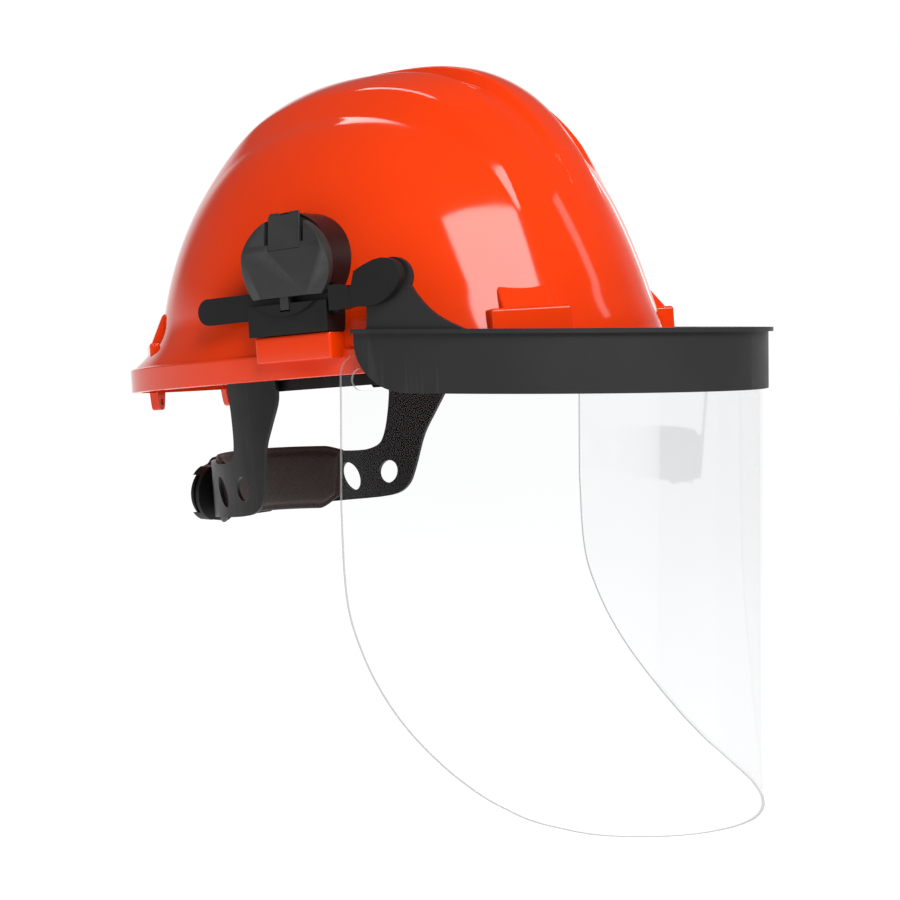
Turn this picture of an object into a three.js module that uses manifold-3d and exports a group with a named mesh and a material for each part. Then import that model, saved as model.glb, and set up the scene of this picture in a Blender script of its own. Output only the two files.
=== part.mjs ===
// Safety helmet with a tilting face shield carried on two side pods.
// Millimetres, +Z up, the wearer faces -Y, the wearer's left is +X.
// The origin is the centre of the headband opening.
import * as THREE from 'three';
import { mergeVertices } from 'three/addons/utils/BufferGeometryUtils.js';
import Module from 'manifold-3d';

const wasm = await Module();
wasm.setup();

// ---------------------------------------------------------------- dimensions
const PITCH = 4.4;                       // nose-up pitch of the shell's rim, degrees
const RIM_Y = 40.4, RIM_Z = -22.1;       // rim centre, seen from the middle of the guard's top plane
const HEAD_Y = 48, HEAD_Z = -11;         // centre of the headband opening, same frame

const WALL = 3;                          // shell wall
const DOME = { B: 105.35, Af: 138.0, Ar: 138.6, H: 150.0, nf: 2.09, nr: 2.23, y0: -2 };
const CROWN_H = 155.3;                   // height that the crown ribs reach
const RIM = { B: 108.0, Af: 140.0, Ar: 156.4, nf: 2.17, nr: 2.38 };
const RIM_H = 12.3, FLARE_Z = 36;        // band height, height where the flare meets the dome
const PEAK_L = 166, PEAK_T = 3.5;        // peak reach from the rim centre, thickness

const G_W = 113.2, G_L = 156.5, G_T = 2.4;   // guard outer half width, reach, wall
const G_H = 26.7, G_FLANGE = 2.0, G_LIP = 2.4;
const DECK_W = 107.6, DECK_L = 120;
const V_W = 110.3, V_L = 153.6, V_T = 1.5;   // visor outer half width, reach, sheet
const V_TOP = -10;
const PIV_Y = -30.7, PIV_Z = 25.3;       // visor pivot axis
const LOBE_R = 9, PIN_R = 3, PIN_HOLE = 3.3;

const POD_Y = -16.6, POD_Z = 52.4;       // pod centre in the rim frame
const POD_R = 25, CAP_R = 23.2, OVAL = 1.12, LATCH_Y = POD_Y - 2;
const STRAP_Z = 35, STRAP_W = 12.8, STRAP_T = 2.6;
const GAP = 0.3;

const NAPE_W = 65, NAPE_L = 85, NAPE_Y = 67, NAPE_T = 2.2, NAPE_N = 2.2;
const KNOB_Z = -88, KNOB_R = 18;
const BAND_W = 73.4, BAND_L = 98, BAND_Y = 7, BAND_T = 1.8, BAND_N = 2.2;

// ------------------------------------------------------------------- helpers
const V3 = (x, y, z) => new THREE.Vector3(x, y, z);

function clean(geo, tol = 1e-4) {
  const g = geo.clone();
  for (const k of Object.keys(g.attributes)) if (k !== 'position') g.deleteAttribute(k);
  g.clearGroups();
  const m = mergeVertices(g, tol);
  const idx = m.index.array, out = [];
  for (let i = 0; i < idx.length; i += 3) {
    const a = idx[i], b = idx[i + 1], c = idx[i + 2];
    if (a !== b && b !== c && a !== c) out.push(a, b, c);
  }
  const p = m.attributes.position.array;
  let vol = 0;
  for (let i = 0; i < out.length; i += 3) {
    const [a, b, c] = [out[i] * 3, out[i + 1] * 3, out[i + 2] * 3];
    vol += p[a] * (p[b + 1] * p[c + 2] - p[b + 2] * p[c + 1])
         - p[a + 1] * (p[b] * p[c + 2] - p[b + 2] * p[c])
         + p[a + 2] * (p[b] * p[c + 1] - p[b + 1] * p[c]);
  }
  if (vol < 0) for (let i = 0; i < out.length; i += 3) [out[i + 1], out[i + 2]] = [out[i + 2], out[i + 1]];
  m.setIndex(out);
  return m;
}

function solid(geo) {
  const g = clean(geo);
  return new wasm.Manifold(new wasm.Mesh({
    numProp: 3,
    vertProperties: new Float32Array(g.attributes.position.array),
    triVerts: new Uint32Array(g.index.array),
  }));
}

function geometry(man) {
  const m = man.getMesh();
  const g = new THREE.BufferGeometry();
  g.setAttribute('position', new THREE.BufferAttribute(new Float32Array(m.vertProperties), 3));
  g.setIndex(new THREE.BufferAttribute(new Uint32Array(m.triVerts), 1));
  return g;
}

const join = (...s) => s.reduce((a, b) => a.add(b));
const cut = (a, ...s) => s.reduce((p, b) => p.subtract(b), a);

function shape(pts, holes = []) {
  const s = new THREE.Shape(pts.map(p => new THREE.Vector2(p[0], p[1])));
  for (const h of holes) s.holes.push(new THREE.Path(h.map(p => new THREE.Vector2(p[0], p[1]))));
  return s;
}

function extrude(pts, depth, matrix, holes) {
  const g = new THREE.ExtrudeGeometry(shape(pts, holes), { depth, bevelEnabled: false, curveSegments: 1 });
  if (matrix) g.applyMatrix4(matrix);
  return solid(g);
}
// outline in (y, z), swept from x0 to x1
const prismX = (pts, x0, x1, holes) => extrude(pts, x1 - x0,
  new THREE.Matrix4().makeBasis(V3(0, 1, 0), V3(0, 0, 1), V3(1, 0, 0)).setPosition(x0, 0, 0), holes);
// outline in (x, z), swept from y1 back to y0
const prismY = (pts, y0, y1, holes) => extrude(pts, y1 - y0,
  new THREE.Matrix4().makeBasis(V3(1, 0, 0), V3(0, 0, 1), V3(0, -1, 0)).setPosition(0, y1, 0), holes);
// outline in (x, y), swept from z0 to z1
const prismZ = (pts, z0, z1, holes) => extrude(pts, z1 - z0,
  new THREE.Matrix4().setPosition(0, 0, z0), holes);

function box(x0, x1, y0, y1, z0, z1) {
  const g = new THREE.BoxGeometry(x1 - x0, y1 - y0, z1 - z0);
  g.translate((x0 + x1) / 2, (y0 + y1) / 2, (z0 + z1) / 2);
  return solid(g);
}
function rodX(r, x0, x1, y, z, seg = 32, r2 = r) {   // r at x0, r2 at x1
  const g = new THREE.CylinderGeometry(r2, r, x1 - x0, seg);
  g.rotateZ(-Math.PI / 2);
  g.translate((x0 + x1) / 2, y, z);
  return solid(g);
}
function rodY(r, y0, y1, x, z, seg = 32, r2 = r) {   // r at y0, r2 at y1
  const g = new THREE.CylinderGeometry(r2, r, y1 - y0, seg);
  g.translate(x, (y0 + y1) / 2, z);
  return solid(g);
}
function mirrored(man) {
  const g = geometry(man);
  g.scale(-1, 1, 1);
  return solid(g);
}
function warped(man, fn) {
  const g = geometry(man), p = g.attributes.position, v = V3();
  for (let i = 0; i < p.count; i++) {
    v.fromBufferAttribute(p, i);
    fn(v);
    p.setXYZ(i, v.x, v.y, v.z);
  }
  return solid(g);
}
const smooth = t => { t = Math.min(Math.max(t, 0), 1); return t * t * (3 - 2 * t); };
const arc = (cy, cz, r, a0, a1, n) => Array.from({ length: n + 1 }, (_, i) => {
  const a = (a0 + (a1 - a0) * i / n) * Math.PI / 180;
  return [cy + r * Math.cos(a), cz + r * Math.sin(a)];
});
const superEllipse = (W, L, n, a) => {
  const c = Math.cos(a), s = Math.sin(a);
  return [Math.sign(c) * W * Math.pow(Math.abs(c), 2 / n), Math.sign(s) * L * Math.pow(Math.abs(s), 2 / n)];
};

// ------------------------------------------------------------ shell surfaces
function domePlan(z, H = DOME.H) {           // half axes of the plain dome at height z
  const v = Math.min(Math.max((z - 3) / H, 0), 1);
  return {
    B: DOME.B * Math.pow(1 - Math.pow(v, 2.3), 1 / 2.1),
    Af: DOME.Af * Math.pow(1 - Math.pow(v, 1.16), 1 / 3.4),
    Ar: DOME.Ar * Math.pow(1 - Math.pow(v, 1.73), 1 / 2.48),
    nf: DOME.nf, nr: DOME.nr, y0: DOME.y0,
  };
}
function shellPlan(z, step = 1.5) {          // dome, flare and rim band in one
  if (z <= RIM_H + 1e-6 && step === 0) return RIM;
  const d = domePlan(z);
  if (z >= FLARE_Z) return d;
  const w = Math.pow((FLARE_Z - Math.max(z, RIM_H)) / (FLARE_Z - RIM_H), 2.2);
  const mix = (a, b) => a + (b - a) * w;
  return { B: mix(d.B, RIM.B - step), Af: mix(d.Af, RIM.Af - step), Ar: mix(d.Ar, RIM.Ar - step), nf: mix(d.nf, RIM.nf), nr: mix(d.nr, RIM.nr), y0: mix(d.y0, 0) };
}
function onPlan(p, a, off) {
  const back = Math.sin(a) > 0;
  const q = superEllipse(Math.max(p.B - off, 0), Math.max((back ? p.Ar : p.Af) - off, 0), back ? p.nr : p.nf, a);
  return [q[0], q[1] + (p.y0 ?? 0)];
}
function domeSolid(off, zBottom, segs, rings, withBand) {
  const zs = [];
  if (withBand) zs.push([0, 0], [RIM_H - 0.8, 0], [RIM_H, 0.8], [RIM_H + 0.01, 1.5]);
  else zs.push([zBottom, 1.5], [RIM_H, 1.5]);
  for (const z of [20, FLARE_Z]) zs.push([z, 1.5]);
  const top = 3 + DOME.H - off, a0 = Math.asin((FLARE_Z - 3) / (top - 3));
  for (let i = 1; i < rings; i++) zs.push([3 + (top - 3) * Math.sin(a0 + (Math.PI / 2 - a0) * i / rings), 1.5]);
  const n = zs.length + 3;
  const prof = [new THREE.Vector2(0, 0)];
  for (let i = 0; i < n - 2; i++) prof.push(new THREE.Vector2(1, i + 1));
  prof.push(new THREE.Vector2(0, n));
  const g = new THREE.LatheGeometry(prof, segs);
  const p = g.attributes.position;
  for (let i = 0; i <= segs; i++) {
    const a = 2 * Math.PI * (i % segs) / segs;
    for (let j = 0; j < n; j++) {
      const k = i * n + j;
      if (j === 0) p.setXYZ(k, 0, 0, zs[0][0]);
      else if (j === n - 1) p.setXYZ(k, 0, DOME.y0, top);
      else {
        const [z, st] = zs[Math.min(Math.max(j - 1, 0), zs.length - 1)];
        const zz = off ? 3 + (z - 3) * DOME.H / (DOME.H - off) : z;   // inner dome is lower by the wall
        const pl = withBand && j <= 2 ? RIM : shellPlan(z >= FLARE_Z ? zz : z, st);
        const [x, y] = onPlan(pl, a, off);
        p.setXYZ(k, x, y, z);
      }
    }
  }
  return solid(g);
}
function domeZ(x, y, H = DOME.H) {           // height of the plain dome's outer face
  let lo = 3, hi = 3 + H;
  y -= DOME.y0;
  for (let i = 0; i < 40; i++) {
    const z = (lo + hi) / 2, d = domePlan(z, H), n = y > 0 ? d.nr : d.nf, A = y > 0 ? d.Ar : d.Af;
    if (Math.pow(Math.abs(x) / d.B, n) + Math.pow(Math.abs(y) / A, n) < 1) lo = z; else hi = z;
  }
  return lo;
}
// crown rib: flat top from t0 to t1, foot from b0 to b1 where it is tallest
function rib(t0, t1, b0, b1, y0, y1, extra) {
  const g = new THREE.BoxGeometry(1, y1 - y0, 1, 1, 10, 1), p = g.attributes.position;
  for (let i = 0; i < p.count; i++) {
    const y = p.getY(i) + (y0 + y1) / 2, right = p.getX(i) > 0;
    const e = smooth((y - y0) / 34) * smooth((y1 - y) / 52), f = 0.12 + 0.88 * e;
    const isTop = p.getZ(i) > 0, x = isTop ? (right ? t1 : t0) : (right ? t1 + (b1 - t1) * f : t0 + (b0 - t0) * f);
    const z = domeZ(x, y);
    p.setXYZ(i, x, y, isTop ? z - 2.4 + (domeZ(x, y, CROWN_H) - z + extra + 2.4) * e : z - 5);
  }
  return solid(g);
}
// block standing on the shell, in a frame turned to face outwards
function facing(man, px, py, ang) {
  const g = geometry(man);
  g.rotateZ(ang);
  g.translate(px, py, 0);
  return solid(g);
}

// --------------------------------------------------------------------- shell
function makeShell() {
  let s = domeSolid(0, 0, 48, 8, true);
  // peak: a thin crescent in front, under the guard
  const pk = [];
  for (let i = 0; i <= 20; i++) pk.push(superEllipse(104, PEAK_L, 2.25, -Math.PI + Math.PI * i / 20));
  pk.push([104, 10], [-104, 10]);
  s = s.add(prismZ(pk, 0, PEAK_T));
  // crown ribs
  s = s.add(rib(-12, 12, -18, 18, -116, 112, 0));
  s = s.add(rib(30, 48, 24, 64, -108, 100, 0));
  s = s.add(rib(-48, -30, -64, -24, -108, 100, 0));
  for (const k of [-1, 1]) {
    // accessory slot boss on the side
    const x = [k * 95, k * 114].sort((a, b) => a - b);
    s = s.add(box(x[0], x[1], -39.3, 5.6, 8, 20.2));
    // front boss block and its wedge
    const blk = join(box(-19.5, 19.5, -8, 12, 8, 25),
      prismX([[12, 24], [-6.5, 24], [4, 37], [12, 37]], -13, 13));
    s = s.add(facing(blk, k * 61, -112.6, k * 40 * Math.PI / 180));
    // rear boss block and its wedge
    const rear = join(box(-17, 17, -16, 5, 8, 25), prismX([[-16, 24], [4, 24], [-3, 40], [-16, 40]], -12, 12));
    s = s.add(facing(rear, k * 66, 113, -k * 46 * Math.PI / 180));
  }
  // hollow
  let inner = domeSolid(WALL, -6, 40, 6, false);
  s = s.subtract(inner);
  for (const k of [-1, 1]) {
    // slot in the side boss
    const x = [k * 106, k * 109.6].sort((a, b) => a - b);
    s = s.subtract(box(x[0], x[1], -31.5, -0.5, 13.7, 22));
    // hook lugs under the rim
    const lug = prismY([[-4.4, 1], [4.4, 1], [3.0, -8], [1.6, -9.6], [-1.6, -9.6], [-3.0, -8]], -2.6, 2.6)
      .subtract(prismY([[-1.3, -3.4], [1.3, -3.4], [1.2, -6.6], [-1.2, -6.6]], -5, 5));
    s = s.add(facing(lug, k * 30, 149.6, -k * 14.5 * Math.PI / 180));
    // sockets for the four suspension keys, on the inner wall
    for (const a of SOCKETS) {
      const w = wallPoint(a, k);
      const sock = cut(box(-9, 2, -14, 14, 8, 21), box(-6.8, -3.2, -11.4, 11.4, 0, 30));
      s = s.add(facing(sock, w.x, w.y, w.rot));
    }
  }
  return s;
}
// where each suspension key sits on the inner wall: plan parameter, front then rear
const SOCKETS = [-46 * Math.PI / 180, 33 * Math.PI / 180];
function wallPoint(a, k) {
  const p = shellPlan(20), e = 1e-3;
  const [x, y] = onPlan(p, a, WALL), [x1, y1] = onPlan(p, a + e, WALL), [x0, y0] = onPlan(p, a - e, WALL);
  let nx = y1 - y0, ny = -(x1 - x0);
  const l = Math.hypot(nx, ny); nx /= l; ny /= l;
  return { x: k * x, y, nx: k * nx, ny, rot: Math.atan2(ny, k * nx) };
}

// ------------------------------------------------------ guard, visor, studs
const EPS = 30;
function shieldPlan(W, L, t) {               // t from -1 (right end) to 1 (left end)
  const x = Math.sign(t) * W * Math.pow(Math.sin(Math.abs(t) * Math.PI / 2), 1.25);
  const g = (Math.pow(x * x + EPS * EPS, 0.78) - Math.pow(EPS, 1.56)) / (Math.pow(W * W + EPS * EPS, 0.78) - Math.pow(EPS, 1.56));
  return [x, -L * Math.pow(Math.max(1 - g, 0), 1 / 2.145)];
}
function shieldBand(Wo, Lo, Wi, Li, n = 32, t0 = -1, t1 = 1) {
  const o = [], q = [];
  for (let i = 0; i <= n; i++) {
    const t = t0 + (t1 - t0) * i / n;
    o.push(shieldPlan(Wo, Lo, t));
    q.push(shieldPlan(Wi, Li, t));
  }
  return [...o, ...q.reverse()];
}
function makeGuard() {
  const side = [                              // (y, z) outline of the wall with its arm
    [-170, -G_H], [-44.7, -G_H], [-33.2, -26.3], [-25.3, -24.2], [-19.2, -20.5], [-14, -15.4], [-10.7, -8.2], [-9.8, 0],
    [-9.8, 1], [-16.6, 1.6], [-17, 3], [-17.2, 14], [-19.5, 21],
    ...arc(PIV_Y, PIV_Z, LOBE_R, 0, 205, 12),
    [-41.6, 17.2], [-46.9, 11.6], [-51.5, 8], [-56.4, 5.2], [-61, 3], [-66, 1], [-170, 1],
  ];
  const wall = prismZ(shieldBand(G_W, G_L, G_W - G_T, G_L - G_T), -G_H, 40).intersect(prismX(side, -120, 120));
  const ends = prismX([[-170, -1], [-9.8, -1], [-9.8, 3], [-170, 3]], -125, 125);
  const lip = prismZ(shieldBand(G_W + G_LIP, G_L + G_LIP, DECK_W, DECK_L), 0, G_FLANGE).intersect(ends);
  let g = join(wall, lip);
  g = g.subtract(rodX(PIN_HOLE, -125, 125, PIV_Y, PIV_Z, 20));
  for (const t of STUDS) g = g.subtract(studSolid(t, 3.3, 0, 1.8));
  // stiffening webs under the deck
  for (const t of [-0.62, -0.3, 0.3, 0.62]) {
    const [xo, yo] = shieldPlan(G_W - 1.5, G_L - 1.5, t), [xi, yi] = shieldPlan(DECK_W - 2, DECK_L + 3, t);
    const a = Math.atan2(yi - yo, xi - xo), len = Math.hypot(xi - xo, yi - yo);
    const web = prismY([[0, 0.5], [0, -7], [4, -7], [len, -2], [len, 0.5]], -0.9, 0.9);
    const w = geometry(web); w.rotateZ(a); w.translate(xo, yo, 0);
    g = g.add(solid(w));
  }
  return g;
}
const EDGE = [[1, -31], [1.0, -79.9], [0.988, -125.3], [0.965, -143], [0.931, -159.0], [0.883, -174.5], [0.825, -188.0], [0.763, -199.3], [0.694, -208.7], [0.6, -216.6], [0.433, -222.4], [0.2, -224.6], [0, -225]];
function makeVisor() {
  const pts = [];
  pts.push(...arc(-9, V_TOP - 9, 9, 90, 0, 5));
  for (const [t, z] of EDGE) pts.push([shieldPlan(V_W, V_L, t)[1], z]);
  pts.push([-170, -225], [-170, V_TOP]);
  let v = prismZ(shieldBand(V_W, V_L, V_W - V_T, V_L - V_T), -230, 0).intersect(prismX(pts, -120, 120));
  // holding slots: one near each rear corner and three round the front
  const slot = (y, z, len, r) => [...arc(y + len / 2 - r, z, r, -90, 90, 6), ...arc(y - len / 2 + r, z, r, 90, 270, 6)];
  v = v.subtract(prismX(slot(-19, -20.9, 25, 5), -120, 120));
  for (const t of STUDS.slice(2)) v = v.subtract(studSolid(t, 3.4, -10, 6));
  return v;
}
const STUDS = [-0.905, 0.905, -0.46, 0.46, 0];
const studZ = t => Math.abs(t) > 0.8 ? -19.6 : -17;
function studSolid(t, r, a, b, r2 = r) {      // round, square to the wall at t, from a (inwards) to b
  const [x, y] = shieldPlan(V_W, V_L, t), e = 1e-3;
  const [x1, y1] = shieldPlan(V_W, V_L, t + e), [x0, y0] = shieldPlan(V_W, V_L, t - e);
  const n = V3(-(y1 - y0), x1 - x0, 0).normalize();
  if (n.x * x + n.y * y < 0) n.negate();
  const g = new THREE.CylinderGeometry(r2, r, b - a, 14);
  g.translate(0, (a + b) / 2, 0);
  g.applyMatrix4(new THREE.Matrix4().makeBasis(V3(0, 0, 1).cross(n).negate(), n, V3(0, 0, 1)).setPosition(x, y, studZ(t)));
  return solid(g);
}
function makeStud(t) {                        // shank in the visor's hole, wide head on the inside
  const s = join(studSolid(t, 3, -V_T - 1.0, 1.5), studSolid(t, 6, -V_T - 2.6, -V_T - 0.7, 5.2));
  return s;
}

// ------------------------------------------------------- pods (right side)
const toRim = (y, z) => {
  const c = Math.cos(PITCH * Math.PI / 180), s = Math.sin(PITCH * Math.PI / 180);
  return [(y - RIM_Y) * c - (z - RIM_Z) * s, (y - RIM_Y) * s + (z - RIM_Z) * c];
};
const [PRY, PRZ] = toRim(PIV_Y, PIV_Z);
const domeClear = domeSolid(-0.4, -6, 48, 8, false);

const oval = s => warped(s, v => { v.y = POD_Y + (v.y - POD_Y) * OVAL; });
function makeBase() {
  let b = join(rodX(POD_R, -112.2, -92, POD_Y, POD_Z, 36), box(-115.5, -92, -39.4, 7.5, 20.5, POD_Z - 17.6));
  const lip = oval(rodX(23.2, -117.2, -111.5, POD_Y, POD_Z, 36)).intersect(box(-120, -100, -60, 20, 20, POD_Z - 17.6));
  b = b.add(lip);
  b = b.subtract(domeClear);
  b = b.subtract(box(-113, -109, -60, 40, STRAP_Z - STRAP_W / 2 - 0.35, POD_Z - 10).subtract(box(-116, -112.2, -60, 40, 0, 36)));
  b = b.subtract(rodX(4.4, -114, -103.6, POD_Y, POD_Z + 4, 14));
  b = b.subtract(box(-118, -112, POD_Y - 2.9, POD_Y + 2.9, POD_Z - 21.3, POD_Z - 14));
  b = b.add(box(-109.3, -106.3, -31, -1, 14.2, 24));
  // screw seat is hidden: a plain pocket lightens the drum from the front
  b = b.subtract(rodX(9, -114, -107.5, POD_Y, POD_Z + 4, 16).subtract(rodX(6.4, -115, -100, POD_Y, POD_Z + 4, 16)));
  return b;
}
const NOTCH_Z = POD_Z + 7.4, SLOT_Z = POD_Z + 10.2;
function makeCap() {
  let c = oval(join(rodX(CAP_R, -115.9, -112.5, POD_Y, POD_Z, 36), rodX(CAP_R - 1, -118.3, -115.9, POD_Y, POD_Z, 36, CAP_R)));
  c = c.subtract(box(-120, -110, POD_Y - 40, POD_Y + 40, POD_Z - 40, POD_Z - 14.6));
  c = c.add(box(-117.6, -113.4, POD_Y - 2.4, POD_Y + 2.4, POD_Z - 20.6, POD_Z - 14));
  c = c.add(rodX(4.1, -113, -104, POD_Y, POD_Z + 4, 20));
  // sloping facets: one up to the top, two on the lower sides
  const plane = (p, n) => {
    const g = new THREE.BoxGeometry(60, 60, 30);
    g.translate(0, 0, 15);
    const q = new THREE.Quaternion().setFromUnitVectors(V3(0, 0, 1), n.clone().normalize());
    g.applyQuaternion(q);
    g.translate(p.x, p.y, p.z);
    return solid(g);
  };
  c = c.subtract(plane(V3(-118.3, POD_Y, NOTCH_Z), V3(-1, 0, 0.11)));
  for (const k of [-1, 1]) c = c.subtract(plane(V3(-118.3, POD_Y + k * 23, POD_Z + 5.6), V3(-1, k * 0.42, -0.20)));
  // opening for the latch tongue
  c = c.subtract(box(-125, -114.6, LATCH_Y - 11.7, LATCH_Y + 11.7, SLOT_Z, POD_Z + 40));
  c = c.subtract(box(-115, -113.4, LATCH_Y - 11.7, LATCH_Y + 11.7, POD_Z + 17, POD_Z + 40));   // depth for its travel
  c = c.subtract(box(-125, -114.6, LATCH_Y - 9.5, LATCH_Y + 9.5, NOTCH_Z - 0.15, SLOT_Z + 1));
  return c;
}
function makeLatch() {
  let l = box(-118.3, -115.9, LATCH_Y - 9.3, LATCH_Y + 9.3, NOTCH_Z + 0.05, POD_Z + 23.6);
  l = l.add(box(-118.0, -115.0, LATCH_Y - 8.7, LATCH_Y - 3.4, POD_Z + 22, POD_Z + 24.8));
  l = l.add(box(-118.0, -115.0, LATCH_Y + 3.4, LATCH_Y + 8.7, POD_Z + 22, POD_Z + 24.8));
  return warped(l, v => { if (v.x < -117) v.x += 0.11 * (v.z - NOTCH_Z); });
}
function makeCarrier() {
  const x0 = -112.0, x1 = x0 + STRAP_T, r = STRAP_W / 2;
  const tail = prismX([[-44, STRAP_Z - r], ...arc(41.8 - r, STRAP_Z, r, -90, 90, 10), [-44, STRAP_Z + r]], x0, x1);
  const step = prismX([[-2.4 + 8.5, STRAP_Z - r + 1], [8.1, STRAP_Z - r + 1], [8.1, STRAP_Z + r - 1], [6.1, STRAP_Z + r - 1]], x0 - 0.0, x1).intersect(tail);
  // wing plate round the pivot, and the neck that joins it to the strap
  const W = [[-55.2, 30.4], [-59.9, 29.7], [-64.6, 29.7], [-69, 30.3], [-72.8, 31.6], [-76.1, 33.6], [-78.7, 35.7], [-80.7, 38], [-82.2, 40.3], [-82.8, 42.8], [-82.3, 45.3], [-80.8, 47.6], [-77.8, 49.4], [-74.1, 50.4], [-70.2, 50.4], [-66.2, 49.5], [-61.4, 47.9], [-56.8, 45.9], [-54.5, 38.6]];
  const wing = prismX(W, -116.6, -113.2);
  const neck = prismX([[-41.2, 29.6], [-46, 29.4], [-51.6, 30.2], [-58, 30.4], [-58, 38.4], [-52.5, 38.4], [-50.5, 40.4], [-43.7, 41.2], [-41.2, 41]], -116.0, -109.4);
  let c = join(tail, wing, neck, step);
  c = c.subtract(rodX(PIN_HOLE, -115, -110, PRY, PRZ, 18));
  return c;
}
function makePin() {
  return join(rodX(PIN_R, -114.7, -104.5, PIV_Y, PIV_Z, 18), rodX(6, -105.4, -103.2, PIV_Y, PIV_Z, 18, 5.2));
}
function makeWasher() {
  const g = new THREE.LatheGeometry([[3.4, 0], [6.8, 0], [6.8, 1.0], [3.4, 1.0], [3.4, 0]].map(p => new THREE.Vector2(...p)), 20);
  g.rotateZ(-Math.PI / 2);
  g.translate(-106.75, PIV_Y, PIV_Z);
  return solid(g);
}

// ------------------------------------------------------------------- harness
function ringBand(W, L, cy, n, T, a0, a1, N) {
  const o = [], q = [];
  for (let i = 0; i <= N; i++) {
    const a = (a0 + (a1 - a0) * i / N) * Math.PI / 180;
    const [x, y] = superEllipse(W, L, n, a), [u, v] = superEllipse(W - T, L - T, n, a);
    o.push([x, y + cy]); q.push([u, v + cy]);
  }
  return [...o, ...q.reverse()];
}
function makeHeadband() {
  // open at the back: from 128 degrees round the brow to the other side
  let b = prismZ(ringBand(BAND_W, BAND_L, BAND_Y, BAND_N, BAND_T, -238, 58, 36), -5, 25);
  b = b.subtract(prismX([[64, -10], [110, -10], [110, 2], [70, 2]], -120, 120));
  for (const k of [-1, 1]) {
    b = b.subtract(rodX(2.6, Math.min(k * 60, k * 90), Math.max(k * 60, k * 90), 44, 10, 16));
    for (let i = 0; i < 4; i++) {            // size slots along the side
      const y = -22 + i * 12;
      b = b.subtract(box(Math.min(k * 60, k * 90), Math.max(k * 60, k * 90), y - 1.6, y + 1.6, 6, 16));
    }
  }
  return b;
}
const lean = z => 1 + (z + 80) * 0.0026;
function makeNapeStrap() {                    // left side, x > 0
  const edge = [
    [66, 0], [66, -20], [66.6, -33], [72, -45], [78, -58], [82, -78], [84.5, -86], [89, -90.8], [96, -93.4],
    [123, -96.8], [140, -98.6], [156, -99.5], [156, -69], [130, -68.5], [118, -68.4], [110, -67.2], [104.5, -64], [102.4, -58], [101.5, -45], [102, -30], [103, -12], [103, 0],
  ];
  let s = prismZ(ringBand(NAPE_W + NAPE_T, NAPE_L + NAPE_T, NAPE_Y, NAPE_N, NAPE_T, -12, 88.5, 24), -110, 10)
    .intersect(prismX(edge, 0, 120));
  s = s.subtract(box(-1, 14, 100, 170, -110, 0));
  const ell = (y, z, a, b, t) => Array.from({ length: 20 }, (_, i) => {
    const u = 2 * Math.PI * i / 20, c = Math.cos(t), d = Math.sin(t);
    return [y + a * Math.cos(u) * c - b * Math.sin(u) * d, z + a * Math.cos(u) * d + b * Math.sin(u) * c];
  });
  s = s.subtract(prismX(ell(98, -80, 5.6, 6.4, 0), 30, 90));
  s = s.subtract(prismX(ell(118.5, -83, 8.4, 4.3, 1.15), 30, 90));
  s = s.subtract(prismX(ell(84.4, -14, 2.7, 2.7, 0), 30, 120));
  return warped(s, v => { v.x *= lean(v.z); });
}
function padAlong(cy, W, L, n, a0, a1, T, zf0, zf1, N) {
  const g = new THREE.ExtrudeGeometry(shape(ringBand(W, L, cy, n, T, a0, a1, N)), { depth: 1, bevelEnabled: false, curveSegments: 1 });
  const p = g.attributes.position;
  for (let i = 0; i < p.count; i++) p.setZ(i, p.getZ(i) > 0.5 ? zf1(p.getX(i)) : zf0(p.getX(i)));
  return solid(g);
}
function makeNapePad() {
  return warped(padAlong(NAPE_Y, NAPE_W - 0.6, NAPE_L - 0.6, NAPE_N, 33, 147, 5.5,
    x => -101 + 9 * smooth((Math.abs(x) - 44) / 10), x => -65.5 - 3 * smooth((Math.abs(x) - 44) / 10), 26), v => { v.x *= lean(v.z); });
}
function makeBrowPad() {
  return padAlong(BAND_Y, BAND_W - BAND_T - 0.6, BAND_L - BAND_T - 0.6, BAND_N, -150, -30, 5, () => -4, () => 27, 28);
}
function makeWebbing(k, lift) {               // strap from the front key on side k over the crown to the rear key
  const a = hangerPlace(k, true), b = hangerPlace(-k, false);
  const R = Math.hypot(a.x - b.x, a.y - b.y) / 2 + 0.4, top = 112 + lift, N = 22, o = [], q = [], e = 2.25;
  for (let i = 0; i <= N; i++) {
    const t = Math.PI * i / N, c = Math.cos(t), s = Math.sin(t);
    const r = Math.sign(c) * Math.pow(Math.abs(c), 2 / e), z = Math.pow(s, 2 / e);
    o.push([(R + 0.75) * r, 30.4 + (top + 1.5 - 30.4) * z]); q.push([(R - 0.75) * r, 30.4 + (top - 30.4) * z]);
  }
  o[0][1] = q[0][1] = 30.4; o[N][1] = q[N][1] = 30.4;
  const g = geometry(prismY([...o, ...q.reverse()], -9.5, 9.5));
  g.rotateZ(Math.atan2(a.y - b.y, a.x - b.x));
  g.translate((a.x + b.x) / 2, (a.y + b.y) / 2, 0);
  return solid(g);
}
function hangerPlace(k, front) {
  const w = wallPoint(SOCKETS[front ? 0 : 1], k);
  let d = 5;                                  // along the inward normal to the headband's outer face
  const outside = q => {
    const x = w.x - w.nx * q, y = w.y - w.ny * q - BAND_Y;
    return Math.pow(Math.abs(x) / BAND_W, BAND_N) + Math.pow(Math.abs(y) / BAND_L, BAND_N) > 1;
  };
  while (outside(d) && d < 60) d += 0.05;
  d -= 1.9;
  return { w, d, x: w.x - w.nx * (d - 1.2), y: w.y - w.ny * (d - 1.2) };
}
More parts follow.
